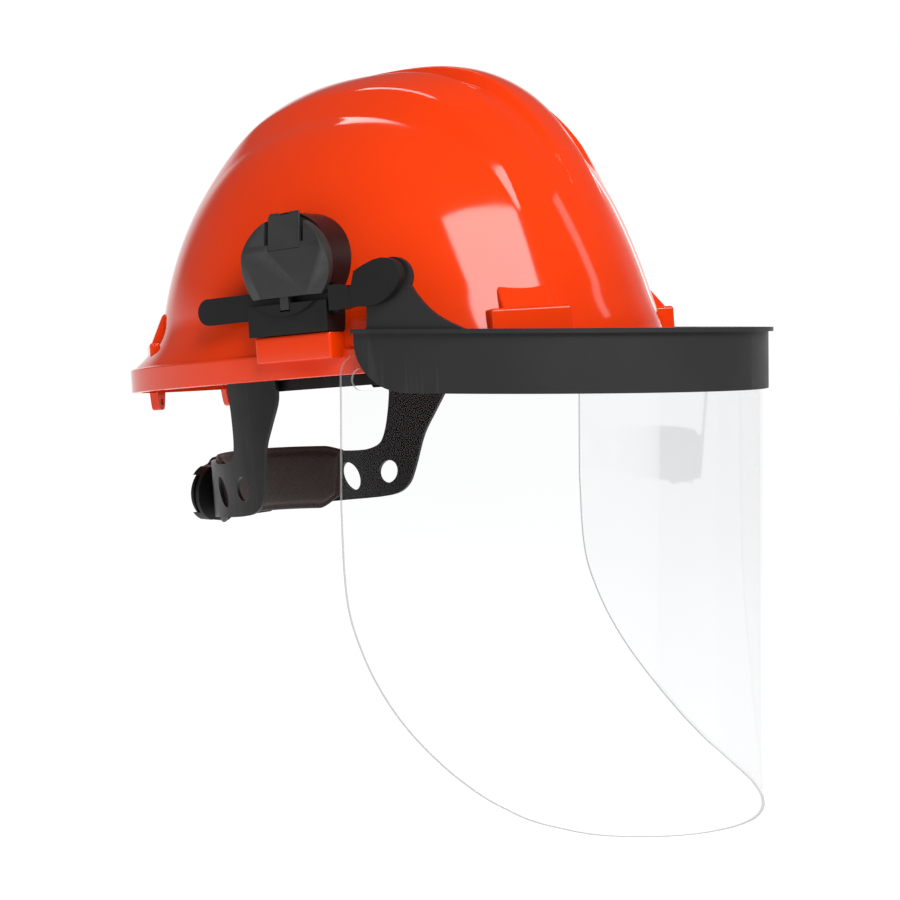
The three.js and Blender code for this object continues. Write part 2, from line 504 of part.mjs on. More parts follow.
function makeHanger(k, front) {               // key in the shell socket, arm, plate behind the headband
  const { w, d } = hangerPlace(k, front);
  const h = join(box(-6.5, -3.5, -11, 11, 2, 24), box(-d, -3.5, -7, 7, 2, 5), box(-d, -d + 2.4, -10.5, 10.5, 2, 30),
    box(-d + 2, -d + 6, -1, 1, 3, 12), box(-10, -5, -1, 1, 3, 7));
  return facing(h, w.x, w.y, w.rot);
}

// ------------------------------------------------------------------- ratchet
const TEETH = 10, PITCH_R = 5, RACK_P = 2 * Math.PI * PITCH_R / TEETH;
function makeHousing() {
  const out = [...arc(20, KNOB_Z, 15.5, -70, 70, 10), ...arc(-20, KNOB_Z, 15.5, 110, 250, 10)];
  let h = prismY(out, 154.4, 162);
  h = h.subtract(box(-60, 60, 156.6, 164, KNOB_Z - 10.2, KNOB_Z + 10.2));
  h = h.subtract(prismY([...arc(19.5, KNOB_Z, 13.9, -70, 70, 10), ...arc(-19.5, KNOB_Z, 13.9, 110, 250, 10)], 160.2, 164));
  return h;
}
function makeCover() {
  let c = prismY([...arc(19.5, KNOB_Z, 13.6, -70, 70, 10), ...arc(-19.5, KNOB_Z, 13.6, 110, 250, 10)], 160.5, 162.6);
  return c.subtract(rodY(4.6, 150, 170, 0, KNOB_Z, 24));
}
function makePinion() {
  const pts = [];
  for (let i = 0; i < TEETH; i++) {
    const c = 2 * Math.PI * i / TEETH + Math.PI / 2;          // one tooth points straight up
    for (const [da, r] of [[-0.215, 4.15], [-0.085, 5.75], [0.085, 5.75], [0.215, 4.15]]) pts.push([r * Math.cos(c + da), KNOB_Z + r * Math.sin(c + da)]);
  }
  return join(prismY(pts, 157, 159.8), rodY(4.0, 159, 168, 0, KNOB_Z, 20));
}
function makeRack(up) {                       // toothed bar over (or under) the pinion
  const s = up ? 1 : -1, x0 = up ? -14 : -24, x1 = up ? 24 : 14, pts = [];
  const n = Math.ceil(40 / RACK_P);
  const line = 4.55, tip = line - 0.0, root = 6.15;
  for (let i = -n; i <= n; i++) {
    const c = (i + 0.5) * RACK_P;             // gap over the pinion's tooth at x = 0
    if (c - 0.9 < x0 + 0.5 || c + 0.9 > x1 - 0.5) continue;
    pts.push([c - 0.78, root], [c - 0.30, tip + 0.1], [c + 0.30, tip + 0.1], [c + 0.78, root]);
  }
  let poly = [[x0, 9.4], [x0, root], ...pts, [x1, root], [x1, 9.4]];
  poly = poly.map(([x, z]) => [x, KNOB_Z + s * z]);
  return prismY(poly, 157.1, 159.7);
}
function makeKnob() {
  const pts = [];
  const N = 54;
  for (let i = 0; i < N; i++) {
    const a = 2 * Math.PI * i / N, r = KNOB_R - 1.3 * Math.pow(0.5 + 0.5 * Math.cos(9 * a), 2);
    pts.push([r * Math.cos(a), KNOB_Z + r * Math.sin(a)]);
  }
  let k = prismY(pts, 164.2, 172.5).add(rodY(15.5, 163.2, 174, 0, KNOB_Z, 36, 13.5));
  k = k.subtract(rodY(4.3, 160, 169, 0, KNOB_Z, 20));
  return k;
}

// ------------------------------------------------------------------ assembly
const mat = (color, roughness, metalness = 0, extra = {}) => ({ color, roughness, metalness, ...extra });
const M = {
  orange: mat(0xff4a14, 0.22), black: mat(0x2a2b2c, 0.55), matte: mat(0x303132, 0.7), clear: mat(0xf2f5f7, 0.05, 0, { transparent: true, opacity: 0.25 }),
  band: mat(0x232425, 0.5), brown: mat(0x46362f, 0.9), web: mat(0x202123, 0.95), steel: mat(0xb5b7ba, 0.35, 0.9),
};
const assembly = new THREE.Group();
const helmet = new THREE.Group();              // pitched frame of the shell's rim
helmet.rotation.x = -PITCH * Math.PI / 180;
helmet.position.set(0, RIM_Y, RIM_Z);
const shield = new THREE.Group();              // level frame of the guard, visor and nape
assembly.add(helmet, shield);
assembly.position.set(0, -HEAD_Y, -HEAD_Z);

function put(group, name, man, m) {
  const g = geometry(man);
  const out = clean(g);
  out.computeVertexNormals();
  const mesh = new THREE.Mesh(out, new THREE.MeshStandardMaterial(m));
  mesh.name = name;
  group.add(mesh);
  return mesh;
}

put(helmet, 'shell', makeShell(), M.orange);
put(shield, 'brow_guard', makeGuard(), M.matte);
put(shield, 'visor', makeVisor(), M.clear);
['stud_right_rear', 'stud_left_rear', 'stud_right_front', 'stud_left_front', 'stud_centre'].forEach((n, i) => put(shield, 'visor_' + n, makeStud(STUDS[i]), M.black));

for (const [side, flip] of [['right', false], ['left', true]]) {
  const f = s => flip ? mirrored(s) : s;
  put(helmet, 'pod_base_' + side, f(makeBase()), M.black);
  put(helmet, 'pod_cap_' + side, f(makeCap()), M.black);
  put(helmet, 'cap_latch_' + side, f(makeLatch()), M.black);
  put(helmet, 'carrier_arm_' + side, f(makeCarrier()), M.black);
  put(shield, 'pivot_pin_' + side, f(makePin()), M.steel);
  put(shield, 'friction_washer_' + side, f(makeWasher()), M.steel);
  put(shield, 'nape_strap_' + side, flip ? makeNapeStrap() : mirrored(makeNapeStrap()), M.band);
}

put(helmet, 'headband', makeHeadband(), M.band);
put(helmet, 'brow_pad', makeBrowPad(), M.brown);
put(shield, 'nape_pad', makeNapePad(), M.brown);
put(helmet, 'crown_strap_lower', makeWebbing(-1, 0), M.web);
put(helmet, 'crown_strap_upper', makeWebbing(1, 3.2), M.web);
for (const [n, k, front] of [['front_right', -1, true], ['front_left', 1, true], ['rear_right', -1, false], ['rear_left', 1, false]])
  put(helmet, 'hanger_' + n, makeHanger(k, front), M.black);

put(shield, 'ratchet_housing', makeHousing(), M.black);
put(shield, 'ratchet_cover', makeCover(), M.black);
put(shield, 'ratchet_pinion', makePinion(), M.black);
put(shield, 'ratchet_rack_left', makeRack(true), M.band);
put(shield, 'ratchet_rack_right', makeRack(false), M.band);
put(shield, 'ratchet_knob', makeKnob(), M.black);

export default assembly;
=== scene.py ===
import math

import bmesh
import bpy
import numpy as np
from mathutils import Matrix, Vector

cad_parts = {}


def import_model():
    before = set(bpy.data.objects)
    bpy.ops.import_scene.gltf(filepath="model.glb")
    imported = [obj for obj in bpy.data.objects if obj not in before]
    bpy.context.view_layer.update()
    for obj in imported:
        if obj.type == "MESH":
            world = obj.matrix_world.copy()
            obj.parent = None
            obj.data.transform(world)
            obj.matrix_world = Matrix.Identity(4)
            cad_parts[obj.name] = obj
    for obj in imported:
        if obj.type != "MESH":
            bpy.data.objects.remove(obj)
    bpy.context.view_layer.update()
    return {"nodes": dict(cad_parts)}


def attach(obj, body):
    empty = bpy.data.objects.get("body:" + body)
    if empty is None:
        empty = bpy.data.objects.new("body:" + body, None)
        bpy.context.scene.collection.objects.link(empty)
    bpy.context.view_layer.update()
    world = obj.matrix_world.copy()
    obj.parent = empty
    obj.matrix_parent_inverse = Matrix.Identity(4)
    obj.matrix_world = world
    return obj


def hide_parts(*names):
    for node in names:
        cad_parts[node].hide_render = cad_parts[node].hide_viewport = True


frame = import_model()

scene = bpy.context.scene

# ------------------------------------------------------------------ frames
# Everything is built in millimetres, in one of two frames, and moved to the row frame at the end.
PITCH = math.radians(4.4)
PC, PS = math.cos(PITCH), math.sin(PITCH)


def level(P):                                  # frame of the guard, visor and nape
    P = np.asarray(P, float)
    return np.c_[P[:, 0], P[:, 1] - 48, P[:, 2] + 11] / 1000


def rim(P):                                    # frame of the shell's rim, pitched nose up
    P = np.asarray(P, float)
    return level(np.c_[P[:, 0], P[:, 1] * PC + P[:, 2] * PS + 40.4, -P[:, 1] * PS + P[:, 2] * PC - 22.1])


def to_rim(y, z):
    return (y - 40.4) * PC - (z + 22.1) * PS, (y - 40.4) * PS + (z + 22.1) * PC


# ------------------------------------------------------------- mesh helpers
def obj(name, V, F):
    me = bpy.data.meshes.new(name)
    me.from_pydata(np.asarray(V, float).tolist(), [], [[int(i) for i in f] for f in F])
    me.update()
    o = bpy.data.objects.new(name, me)
    scene.collection.objects.link(o)
    return o


def outward(o):
    bm = bmesh.new()
    bm.from_mesh(o.data)
    bmesh.ops.recalc_face_normals(bm, faces=bm.faces)
    bm.to_mesh(o.data)
    bm.free()
    return o


def prism(pts, axis, a, b):
    p = np.asarray(pts, float)
    n = len(p)

    def at(t):
        k = np.full(n, float(t))
        if axis == "x":
            return np.c_[k, p]
        if axis == "y":
            return np.c_[p[:, 0], k, p[:, 1]]
        return np.c_[p, k]

    F = [list(range(n))[::-1], list(range(n, 2 * n))] + [[i, (i + 1) % n, n + (i + 1) % n, n + i] for i in range(n)]
    return outward(obj("t", np.r_[at(a), at(b)], F))


def box(x0, x1, y0, y1, z0, z1):
    x0, x1 = min(x0, x1), max(x0, x1)
    return prism([(x0, y0), (x1, y0), (x1, y1), (x0, y1)], "z", z0, z1)


def rod(axis, r, a, b, c1, c2, seg=64, r2=None):
    r2 = r if r2 is None else r2
    t = np.arange(seg) * 2 * np.pi / seg
    ring = np.c_[np.cos(t), np.sin(t)]

    def at(s, rr):
        k = np.full(seg, float(s))
        q = ring * rr + (c1, c2)
        if axis == "x":
            return np.c_[k, q]
        if axis == "y":
            return np.c_[q[:, 0], k, q[:, 1]]
        return np.c_[q, k]

    F = [list(range(seg))[::-1], list(range(seg, 2 * seg))] + [[i, (i + 1) % seg, seg + (i + 1) % seg, seg + i] for i in range(seg)]
    return outward(obj("t", np.r_[at(a, r), at(b, r2)], F))


def applied(o):
    dg = bpy.context.evaluated_depsgraph_get()
    me = bpy.data.meshes.new_from_object(o.evaluated_get(dg))
    old = o.data
    o.modifiers.clear()
    o.data = me
    bpy.data.meshes.remove(old)
    return o


def boolean(a, b, op="DIFFERENCE"):
    m = a.modifiers.new("b", "BOOLEAN")
    m.operation = op
    m.solver = "EXACT"
    m.object = b
    applied(a)
    bpy.data.objects.remove(b)
    return a


def add(a, *bs):
    for b in bs:
        boolean(a, b, "UNION")
    return a


def cut(a, *bs):
    for b in bs:
        boolean(a, b, "DIFFERENCE")
    return a


def both(a, b):
    return boolean(a, b, "INTERSECT")


def warp(o, fn):
    n = len(o.data.vertices)
    co = np.zeros(n * 3)
    o.data.vertices.foreach_get("co", co)
    o.data.vertices.foreach_set("co", np.asarray(fn(co.reshape(-1, 3)), float).ravel())
    o.data.update()
    return o


def mirrored(o, name=None):
    q = obj(name or o.name, [(-v.co.x, v.co.y, v.co.z) for v in o.data.vertices], [list(p.vertices)[::-1] for p in o.data.polygons])
    return q


def facing(o, px, py, ang):
    c, s = math.cos(ang), math.sin(ang)
    return warp(o, lambda P: np.c_[P[:, 0] * c - P[:, 1] * s + px, P[:, 0] * s + P[:, 1] * c + py, P[:, 2]])


def joined(name, *objs):
    V, F, n = [], [], 0
    for o in objs:
        V += [tuple(v.co) for v in o.data.vertices]
        F += [[i + n for i in p.vertices] for p in o.data.polygons]
        n = len(V)
        bpy.data.objects.remove(o)
    return obj(name, V, F)


def arc(cy, cz, r, a0, a1, n):
    t = np.radians(a0 + (a1 - a0) * np.arange(n + 1) / n)
    return [(cy + r * math.cos(q), cz + r * math.sin(q)) for q in t]


def spline(pts, per=6, closed=False):
    """Catmull-Rom curve through the points."""
    P = np.asarray(pts, float)
    n = len(P)
    out = []
    rng = range(n if closed else n - 1)
    for i in rng:
        if closed:
            a, b, c, d = P[(i - 1) % n], P[i], P[(i + 1) % n], P[(i + 2) % n]
        else:
            b, c = P[i], P[i + 1]
            a = P[i - 1] if i else 2 * b - c
            d = P[i + 2] if i + 2 < n else 2 * c - b
        ta = 0
        tb = ta + max(np.linalg.norm(b - a), 1e-9) ** 0.5
        tc = tb + max(np.linalg.norm(c - b), 1e-9) ** 0.5
        td = tc + max(np.linalg.norm(d - c), 1e-9) ** 0.5
        for k in range(per):
            t = tb + (tc - tb) * k / per
            A1 = (tb - t) / (tb - ta) * a + (t - ta) / (tb - ta) * b
            A2 = (tc - t) / (tc - tb) * b + (t - tb) / (tc - tb) * c
            A3 = (td - t) / (td - tc) * c + (t - tc) / (td - tc) * d
            B1 = (tc - t) / (tc - ta) * A1 + (t - ta) / (tc - ta) * A2
            B2 = (td - t) / (td - tb) * A2 + (t - tb) / (td - tb) * A3
            out.append((tc - t) / (tc - tb) * B1 + (t - tb) / (tc - tb) * B2)
    if not closed:
        out.append(P[-1])
    return [tuple(q) for q in out]


def super_ellipse(W, L, n, a):
    a = np.asarray(a, float)
    c, s = np.cos(a), np.sin(a)
    return np.sign(c) * W * np.abs(c) ** (2 / n), np.sign(s) * L * np.abs(s) ** (2 / n)


def finish(o, name, body, mat, to_row, bevel=0.4, angle=32, segs=3, stands_for=(), sharp=38, weld=0.002):
    """Rounds the edges, moves the piece to the row frame and gives it its body and material."""
    o.name = name
    o.data.name = name
    bm = bmesh.new()
    bm.from_mesh(o.data)
    bmesh.ops.remove_doubles(bm, verts=bm.verts, dist=weld)
    bmesh.ops.dissolve_degenerate(bm, edges=bm.edges, dist=weld)
    bmesh.ops.recalc_face_normals(bm, faces=bm.faces)
    bm.to_mesh(o.data)
    bm.free()
    if bevel:
        m = o.modifiers.new("round", "BEVEL")
        m.width = bevel
        m.segments = segs
        m.limit_method = "ANGLE"
        m.angle_limit = math.radians(angle)
        m.miter_outer = "MITER_ARC"
        m.use_clamp_overlap = True
        applied(o)
    if to_row is not None:
        warp(o, to_row)
    me = o.data
    me.polygons.foreach_set("use_smooth", [True] * len(me.polygons))
    me.set_sharp_from_angle(angle=math.radians(sharp))
    m = o.modifiers.new("normals", "WEIGHTED_NORMAL")
    m.keep_sharp = True
    m.weight = 60
    applied(o)
    o.data.materials.clear()
    o.data.materials.append(mat)
    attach(o, body)
    if stands_for:
        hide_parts(*stands_for)
    return o


# --------------------------------------------------------------- materials
class Nodes:
    def __init__(self, name):
        self.mat = bpy.data.materials.new(name)
        self.mat.use_nodes = True
        self.t = self.mat.node_tree
        self.t.nodes.clear()
        self.out = self.t.nodes.new("ShaderNodeOutputMaterial")

    def n(self, kind, ins=None, **props):
        k = self.t.nodes.new("ShaderNode" + kind)
        for a, b in props.items():
            setattr(k, a, b)
        for a, b in (ins or {}).items():
            if hasattr(b, "is_output"):
                self.t.links.new(b, k.inputs[a])
            else:
                k.inputs[a].default_value = b
        return k

    def link(self, a, b):
        self.t.links.new(a, b)


def mix_rgb(N, fac, a, b, blend="MIX"):
    k = N.n("Mix", data_type="RGBA", blend_type=blend)
    for sock, v in ((k.inputs[0], fac), (k.inputs[6], a), (k.inputs[7], b)):
        if hasattr(v, "is_output"):
            N.link(v, sock)
        else:
            sock.default_value = v
    return k.outputs[2]


def rgba(c, a=1.0):
    return (c[0], c[1], c[2], a)


def moulded(name, light, dark, rough=(0.25, 0.35), grain=1400.0, grain_depth=0.02, grain_size=0.0002, wave=0.0, coat=0.0, coat_rough=0.05, mottle=14.0, spec=0.5, edge=0.0, edge_col=None):
    """Injection-moulded plastic: slight colour mottle, grain, gentle surface waviness and rubbed edges."""
    N = Nodes(name)
    co = N.n("TexCoord").outputs["Object"]
    big = N.n("TexNoise", {"Vector": co, "Scale": mottle, "Detail": 4.0, "Roughness": 0.55})
    ramp = N.n("MapRange", {"Value": big.outputs[0], "From Min": 0.3, "From Max": 0.7})
    col = mix_rgb(N, ramp.outputs[0], rgba(dark), rgba(light))
    if edge:
        geo = N.n("NewGeometry")
        pt = N.n("MapRange", {"Value": geo.outputs["Pointiness"], "From Min": 0.53, "From Max": 0.62, "To Max": edge})
        wear = N.n("TexNoise", {"Vector": co, "Scale": 220.0, "Detail": 3.0})
        w = N.n("Math", {0: pt.outputs[0], 1: wear.outputs[0]}, operation="MULTIPLY")
        col = mix_rgb(N, w.outputs[0], col, rgba(edge_col or light))
    fine = N.n("TexNoise", {"Vector": co, "Scale": grain, "Detail": 2.0, "Roughness": 0.5})
    r = N.n("TexNoise", {"Vector": co, "Scale": 60.0, "Detail": 3.0})
    rr = N.n("MapRange", {"Value": r.outputs[0], "From Min": 0.3, "From Max": 0.7, "To Min": rough[0], "To Max": rough[1]})
    bump = N.n("Bump", {"Height": fine.outputs[0], "Strength": grain_depth, "Distance": grain_size})
    nrm = bump.outputs[0]
    if wave:
        wv = N.n("TexNoise", {"Vector": co, "Scale": 26.0, "Detail": 1.0})
        b2 = N.n("Bump", {"Height": wv.outputs[0], "Strength": wave, "Distance": 0.0006, "Normal": nrm})
        nrm = b2.outputs[0]
    b = N.n("BsdfPrincipled", {"Base Color": col, "Roughness": rr.outputs[0], "Normal": nrm})
    b.inputs["Specular IOR Level"].default_value = spec
    b.inputs["Coat Weight"].default_value = coat
    b.inputs["Coat Roughness"].default_value = coat_rough
    N.link(b.outputs[0], N.out.inputs[0])
    return N.mat


def lin(r, g, b):
    f = lambda c: (c / 255 / 12.92) if c / 255 <= 0.04045 else ((c / 255 + 0.055) / 1.055) ** 2.4
    return f(r), f(g), f(b)


M_SHELL = moulded("shell_orange", (0.83, 0.045, 0.002), (0.77, 0.039, 0.001), rough=(0.07, 0.10), grain=900, grain_depth=0.006, wave=0.008, mottle=9, spec=0.38)
M_GUARD = moulded("guard_black", lin(34, 34, 34), lin(29, 29, 29), rough=(0.46, 0.56), grain=1500, grain_depth=0.12, grain_size=0.0003, mottle=20, spec=0.30, edge=0.35, edge_col=lin(70, 70, 70))
# Cap and latch are painted lighter, and the pod base darker, than the one black plastic they share: painted light on
# the cap, painted shade on the base.
M_CAP_PAINTED_LIGHT = moulded("cap_black_painted_light", lin(50, 50, 51), lin(42, 42, 43), rough=(0.38, 0.48), grain=1600, grain_depth=0.06, mottle=30, spec=0.34, edge=0.3, edge_col=lin(96, 96, 98))
M_POD_PAINTED_SHADE = moulded("pod_black", lin(24, 24, 25), lin(18, 18, 19), rough=(0.34, 0.44), grain=1600, grain_depth=0.06, mottle=30, spec=0.24, edge=0.3, edge_col=lin(80, 80, 82))
M_ARM = moulded("arm_black", lin(27, 27, 27), lin(21, 21, 21), rough=(0.42, 0.52), grain=1500, grain_depth=0.06, mottle=30, spec=0.22, edge=0.3, edge_col=lin(70, 70, 72))
M_BAND = moulded("harness_black", lin(22, 22, 23), lin(15, 15, 16), rough=(0.30, 0.46), grain=800, grain_depth=0.05, wave=0.03, mottle=26, spec=0.20, edge=0.2, edge_col=lin(74, 74, 78))
M_RATCHET = moulded("ratchet_black", lin(27, 27, 28), lin(21, 21, 22), rough=(0.46, 0.58), grain=1500, grain_depth=0.10, mottle=30, spec=0.26, edge=0.25, edge_col=lin(70, 70, 73))
M_STUD = moulded("stud_black", lin(28, 28, 29), lin(22, 22, 23), rough=(0.4, 0.5), grain=1500, grain_depth=0.06, mottle=30, spec=0.26)


def steel(name):
    N = Nodes(name)
    co = N.n("TexCoord").outputs["Object"]
    st = N.n("Mapping", {"Vector": co, "Scale": (90.0, 1600.0, 1600.0)})
    n1 = N.n("TexNoise", {"Vector": st.outputs[0], "Scale": 1.0, "Detail": 2.0})
    rr = N.n("MapRange", {"Value": n1.outputs[0], "To Min": 0.26, "To Max": 0.42})
    col = mix_rgb(N, n1.outputs[0], (0.50, 0.51, 0.53, 1), (0.66, 0.67, 0.69, 1))
    bp = N.n("Bump", {"Height": n1.outputs[0], "Strength": 0.05, "Distance": 0.0002})
    b = N.n("BsdfPrincipled", {"Base Color": col, "Roughness": rr.outputs[0], "Normal": bp.outputs[0], "Metallic": 0.95})
    N.link(b.outputs[0], N.out.inputs[0])
    return N.mat


M_STEEL = steel("pin_steel")


def visor_clear(name):
    """Clear polycarbonate sheet: lets light through, mirrors at grazing angles, faint haze."""
    N = Nodes(name)
    co = N.n("TexCoord").outputs["Object"]
    sm = N.n("TexNoise", {"Vector": co, "Scale": 7.0, "Detail": 2.0})
    tint = mix_rgb(N, sm.outputs[0], (0.965, 0.967, 0.970, 1), (0.985, 0.986, 0.988, 1))
    tr = N.n("BsdfTransparent", {"Color": tint})
    rr = N.n("MapRange", {"Value": sm.outputs[0], "To Min": 0.03, "To Max": 0.06})
    gl = N.n("BsdfGlossy", {"Color": (0.9, 0.9, 0.9, 1), "Roughness": rr.outputs[0]})
    fr = N.n("Fresnel", {"IOR": 1.45})
    sc = N.n("Math", {0: fr.outputs[0], 1: 0.22}, operation="MULTIPLY")
    mx = N.n("MixShader", {0: sc.outputs[0], 1: tr.outputs[0], 2: gl.outputs[0]})
    N.link(mx.outputs[0], N.out.inputs[0])
    return N.mat


def visor_edge(name):
    """The sheet's cut edge, which gathers light and looks like grey glass."""
    N = Nodes(name)
    co = N.n("TexCoord").outputs["Object"]
    nz = N.n("TexNoise", {"Vector": co, "Scale": 300.0, "Detail": 2.0})
    col = mix_rgb(N, nz.outputs[0], (0.28, 0.285, 0.29, 1), (0.46, 0.465, 0.47, 1))
    b = N.n("BsdfPrincipled", {"Base Color": col, "Roughness": 0.25})
    tr = N.n("BsdfTransparent", {"Color": (0.9, 0.9, 0.91, 1)})
    mx = N.n("MixShader", {0: 0.55, 1: tr.outputs[0], 2: b.outputs[0]})
    N.link(mx.outputs[0], N.out.inputs[0])
    return N.mat


M_VISOR, M_EDGE = visor_clear("visor_clear"), visor_edge("visor_edge")


def leatherette(name):
    """Brown perforated leather-cloth over foam."""
    N = Nodes(name)
    co = N.n("TexCoord").outputs["Object"]
    big = N.n("TexNoise", {"Vector": co, "Scale": 30.0, "Detail": 5.0, "Roughness": 0.6})
    col = mix_rgb(N, big.outputs[0], rgba(lin(44, 33, 29)), rgba(lin(66, 52, 46)))
    vor = N.n("TexVoronoi", {"Vector": co, "Scale": 900.0}, feature="DISTANCE_TO_EDGE")
    gr = N.n("MapRange", {"Value": vor.outputs[0], "From Max": 0.22})
    # darker in the grain's grooves, driven by the same mask as the bump: painted shade in the creases
    col = mix_rgb(N, gr.outputs[0], rgba(lin(34, 25, 22)), col)
    fine = N.n("TexNoise", {"Vector": co, "Scale": 2600.0, "Detail": 2.0})
    b0 = N.n("Bump", {"Height": gr.outputs[0], "Strength": 0.35, "Distance": 0.0003})
    b1 = N.n("Bump", {"Height": fine.outputs[0], "Strength": 0.2, "Distance": 0.0002, "Normal": b0.outputs[0]})
    rr = N.n("MapRange", {"Value": big.outputs[0], "To Min": 0.62, "To Max": 0.85})
    b = N.n("BsdfPrincipled", {"Base Color": col, "Roughness": rr.outputs[0], "Normal": b1.outputs[0]})
    b.inputs["Sheen Weight"].default_value = 0.25
    b.inputs["Sheen Roughness"].default_value = 0.5
    N.link(b.outputs[0], N.out.inputs[0])
    return N.mat


def webbing(name):
    """Woven strap: ribs across it, threads along it."""
    N = Nodes(name)
    uv = N.n("UVMap", uv_map="strap").outputs[0]
    sep = N.n("SeparateXYZ", {0: uv})
    u = N.n("Math", {0: sep.outputs[0], 1: 2 * math.pi / 0.0016}, operation="MULTIPLY")
    v = N.n("Math", {0: sep.outputs[1], 1: 2 * math.pi / 0.0018}, operation="MULTIPLY")
    su = N.n("Math", {0: u.outputs[0]}, operation="SINE")
    sv = N.n("Math", {0: v.outputs[0]}, operation="SINE")
    wv = N.n("Math", {0: su.outputs[0], 1: sv.outputs[0]}, operation="MULTIPLY")
    h = N.n("MapRange", {"Value": wv.outputs[0], "From Min": -1.0, "From Max": 1.0})
    fu = N.n("TexNoise", {"Vector": uv, "Scale": 900.0, "Detail": 3.0})
    # colour follows the weave's height: lighter on the raised threads (painted light), darker in the hollows between
    # them (painted shade)
    col = mix_rgb(N, h.outputs[0], rgba(lin(24, 24, 26)), rgba(lin(58, 58, 62)))
    col = mix_rgb(N, fu.outputs[0], col, rgba(lin(40, 40, 43)))
    b0 = N.n("Bump", {"Height": h.outputs[0], "Strength": 0.6, "Distance": 0.0004})
    b1 = N.n("Bump", {"Height": fu.outputs[0], "Strength": 0.2, "Distance": 0.0002, "Normal": b0.outputs[0]})
    rr = N.n("MapRange", {"Value": fu.outputs[0], "To Min": 0.75, "To Max": 0.95})
    b = N.n("BsdfPrincipled", {"Base Color": col, "Roughness": rr.outputs[0], "Normal": b1.outputs[0]})
    b.inputs["Sheen Weight"].default_value = 0.3
    N.link(b.outputs[0], N.out.inputs[0])
    return N.mat


M_PAD, M_WEB = leatherette("pad_brown"), webbing("webbing_black")

# ------------------------------------------------------------------- shell
WALL = 3.0
DOME = dict(B=105.35, Af=138.0, Ar=138.6, H=150.0, nf=2.09, nr=2.23, y0=-2.0)
CROWN = 4.2
RIM = dict(B=108.0, Af=140.0, Ar=156.4, nf=2.17, nr=2.38)
RIM_H, FLARE_Z = 12.3, 36.0


def smooth01(t):
    t = np.clip(t, 0, 1)
    return t * t * (3 - 2 * t)


def dome_axes(z, H):
    v = np.clip((z - 3) / H, 0, 1 - 1e-9)
    return (DOME["B"] * (1 - v ** 2.3) ** (1 / 2.1), DOME["Af"] * (1 - v ** 1.16) ** (1 / 3.4), DOME["Ar"] * (1 - v ** 1.73) ** (1 / 2.48))


def shell_axes(z, H, step=None):
    """Half axes, exponents and centre of the outer surface at height z: dome, flare, ledge and rim band."""
    B, Af, Ar = dome_axes(z, H)
    w = np.where(z < FLARE_Z, (np.clip((FLARE_Z - np.maximum(z, RIM_H)) / (FLARE_Z - RIM_H), 0, 1)) ** 2.2, 0)
    if step is None:
        t = np.clip((z - (RIM_H - 1.0)) / 1.0, 0, 1)
        step = np.where(z < RIM_H - 1.0, 0, np.where(z < RIM_H, 1 - np.sqrt(np.clip(1 - t * t, 0, 1)), 1.5 - 0.5 * np.exp(-np.maximum(z - RIM_H, 0) / 0.15)))
    mix = lambda a, b: a + (b - a) * w
    return (mix(B, RIM["B"] - step), mix(Af, RIM["Af"] - step), mix(Ar, RIM["Ar"] - step), mix(DOME["nf"], RIM["nf"]), mix(DOME["nr"], RIM["nr"]), mix(DOME["y0"], 0))


def ramp_up(t, r=0.3):
    """Straight slope with rounded top and foot."""
    t = np.clip(t, 0, 1)
    k = 2 * r * (1 - r)
    return np.where(t < r, t * t / k, np.where(t < 1 - r, (t - r / 2) / (1 - r), 1 - (1 - t) ** 2 / k))


def rib_height(x, y):
    """Three ribs along the crown. Their flanks are wide in the middle and steep at the front, where each rib ends in a point."""
    a = np.abs(x)
    e = smooth01((y + 119) / 13) * smooth01((112 - y) / 52)
    w = e * (1 - ramp_up((a - 11.5) / np.interp(y, [-118, -106, -90, -55], [1.6, 3.0, 4.4, 5.5]), 0.25))
    e2 = smooth01((y + 108) / 13) * smooth01((100 - y) / 52)
    inner = np.interp(y, [-110, -100, -84, -50, 0], [1.8, 3.0, 4.6, 6.0, 7.0])
    outer = np.interp(y, [-106, -97, -85, -69, -54, -23, 32, 80], [1.8, 3.0, 6.0, 9.5, 13.0, 16.0, 19.0, 21.0])
    w2 = e2 * ramp_up((a - 30 + inner) / inner, 0.25) * (1 - ramp_up((a - 47.5) / outer, 0.22))
    foot = 2.6 * smooth01((74 - a) / 20) * smooth01((y + 116) / 18) * smooth01((106 - y) / 50)
    w = np.maximum(w, w2)
    return DOME["H"] - foot * (1 - w) + CROWN * w


def plan_gap(x, y, z, H):
    B, Af, Ar, nf, nr, y0 = shell_axes(z, H)
    yy = y - y0
    n = np.where(yy > 0, nr, nf)
    A = np.maximum(np.where(yy > 0, Ar, Af), 1e-3)
    g = (np.abs(x) / np.maximum(B, 1e-3)) ** n + (np.abs(yy) / A) ** n
    r = np.hypot(x, yy)
    return r * (1 - np.maximum(g, 1e-9) ** (-1 / n))


def shell_field(x, y, z):
    H = rib_height(x, y)
    g = plan_gap(x, y, z, H)
    m = plan_gap(x, y, z + 0.4, H) - plan_gap(x, y, z - 0.4, H)
    m = np.clip(m / 0.8, -12, 12)
    return g / np.sqrt(1 + m * m)


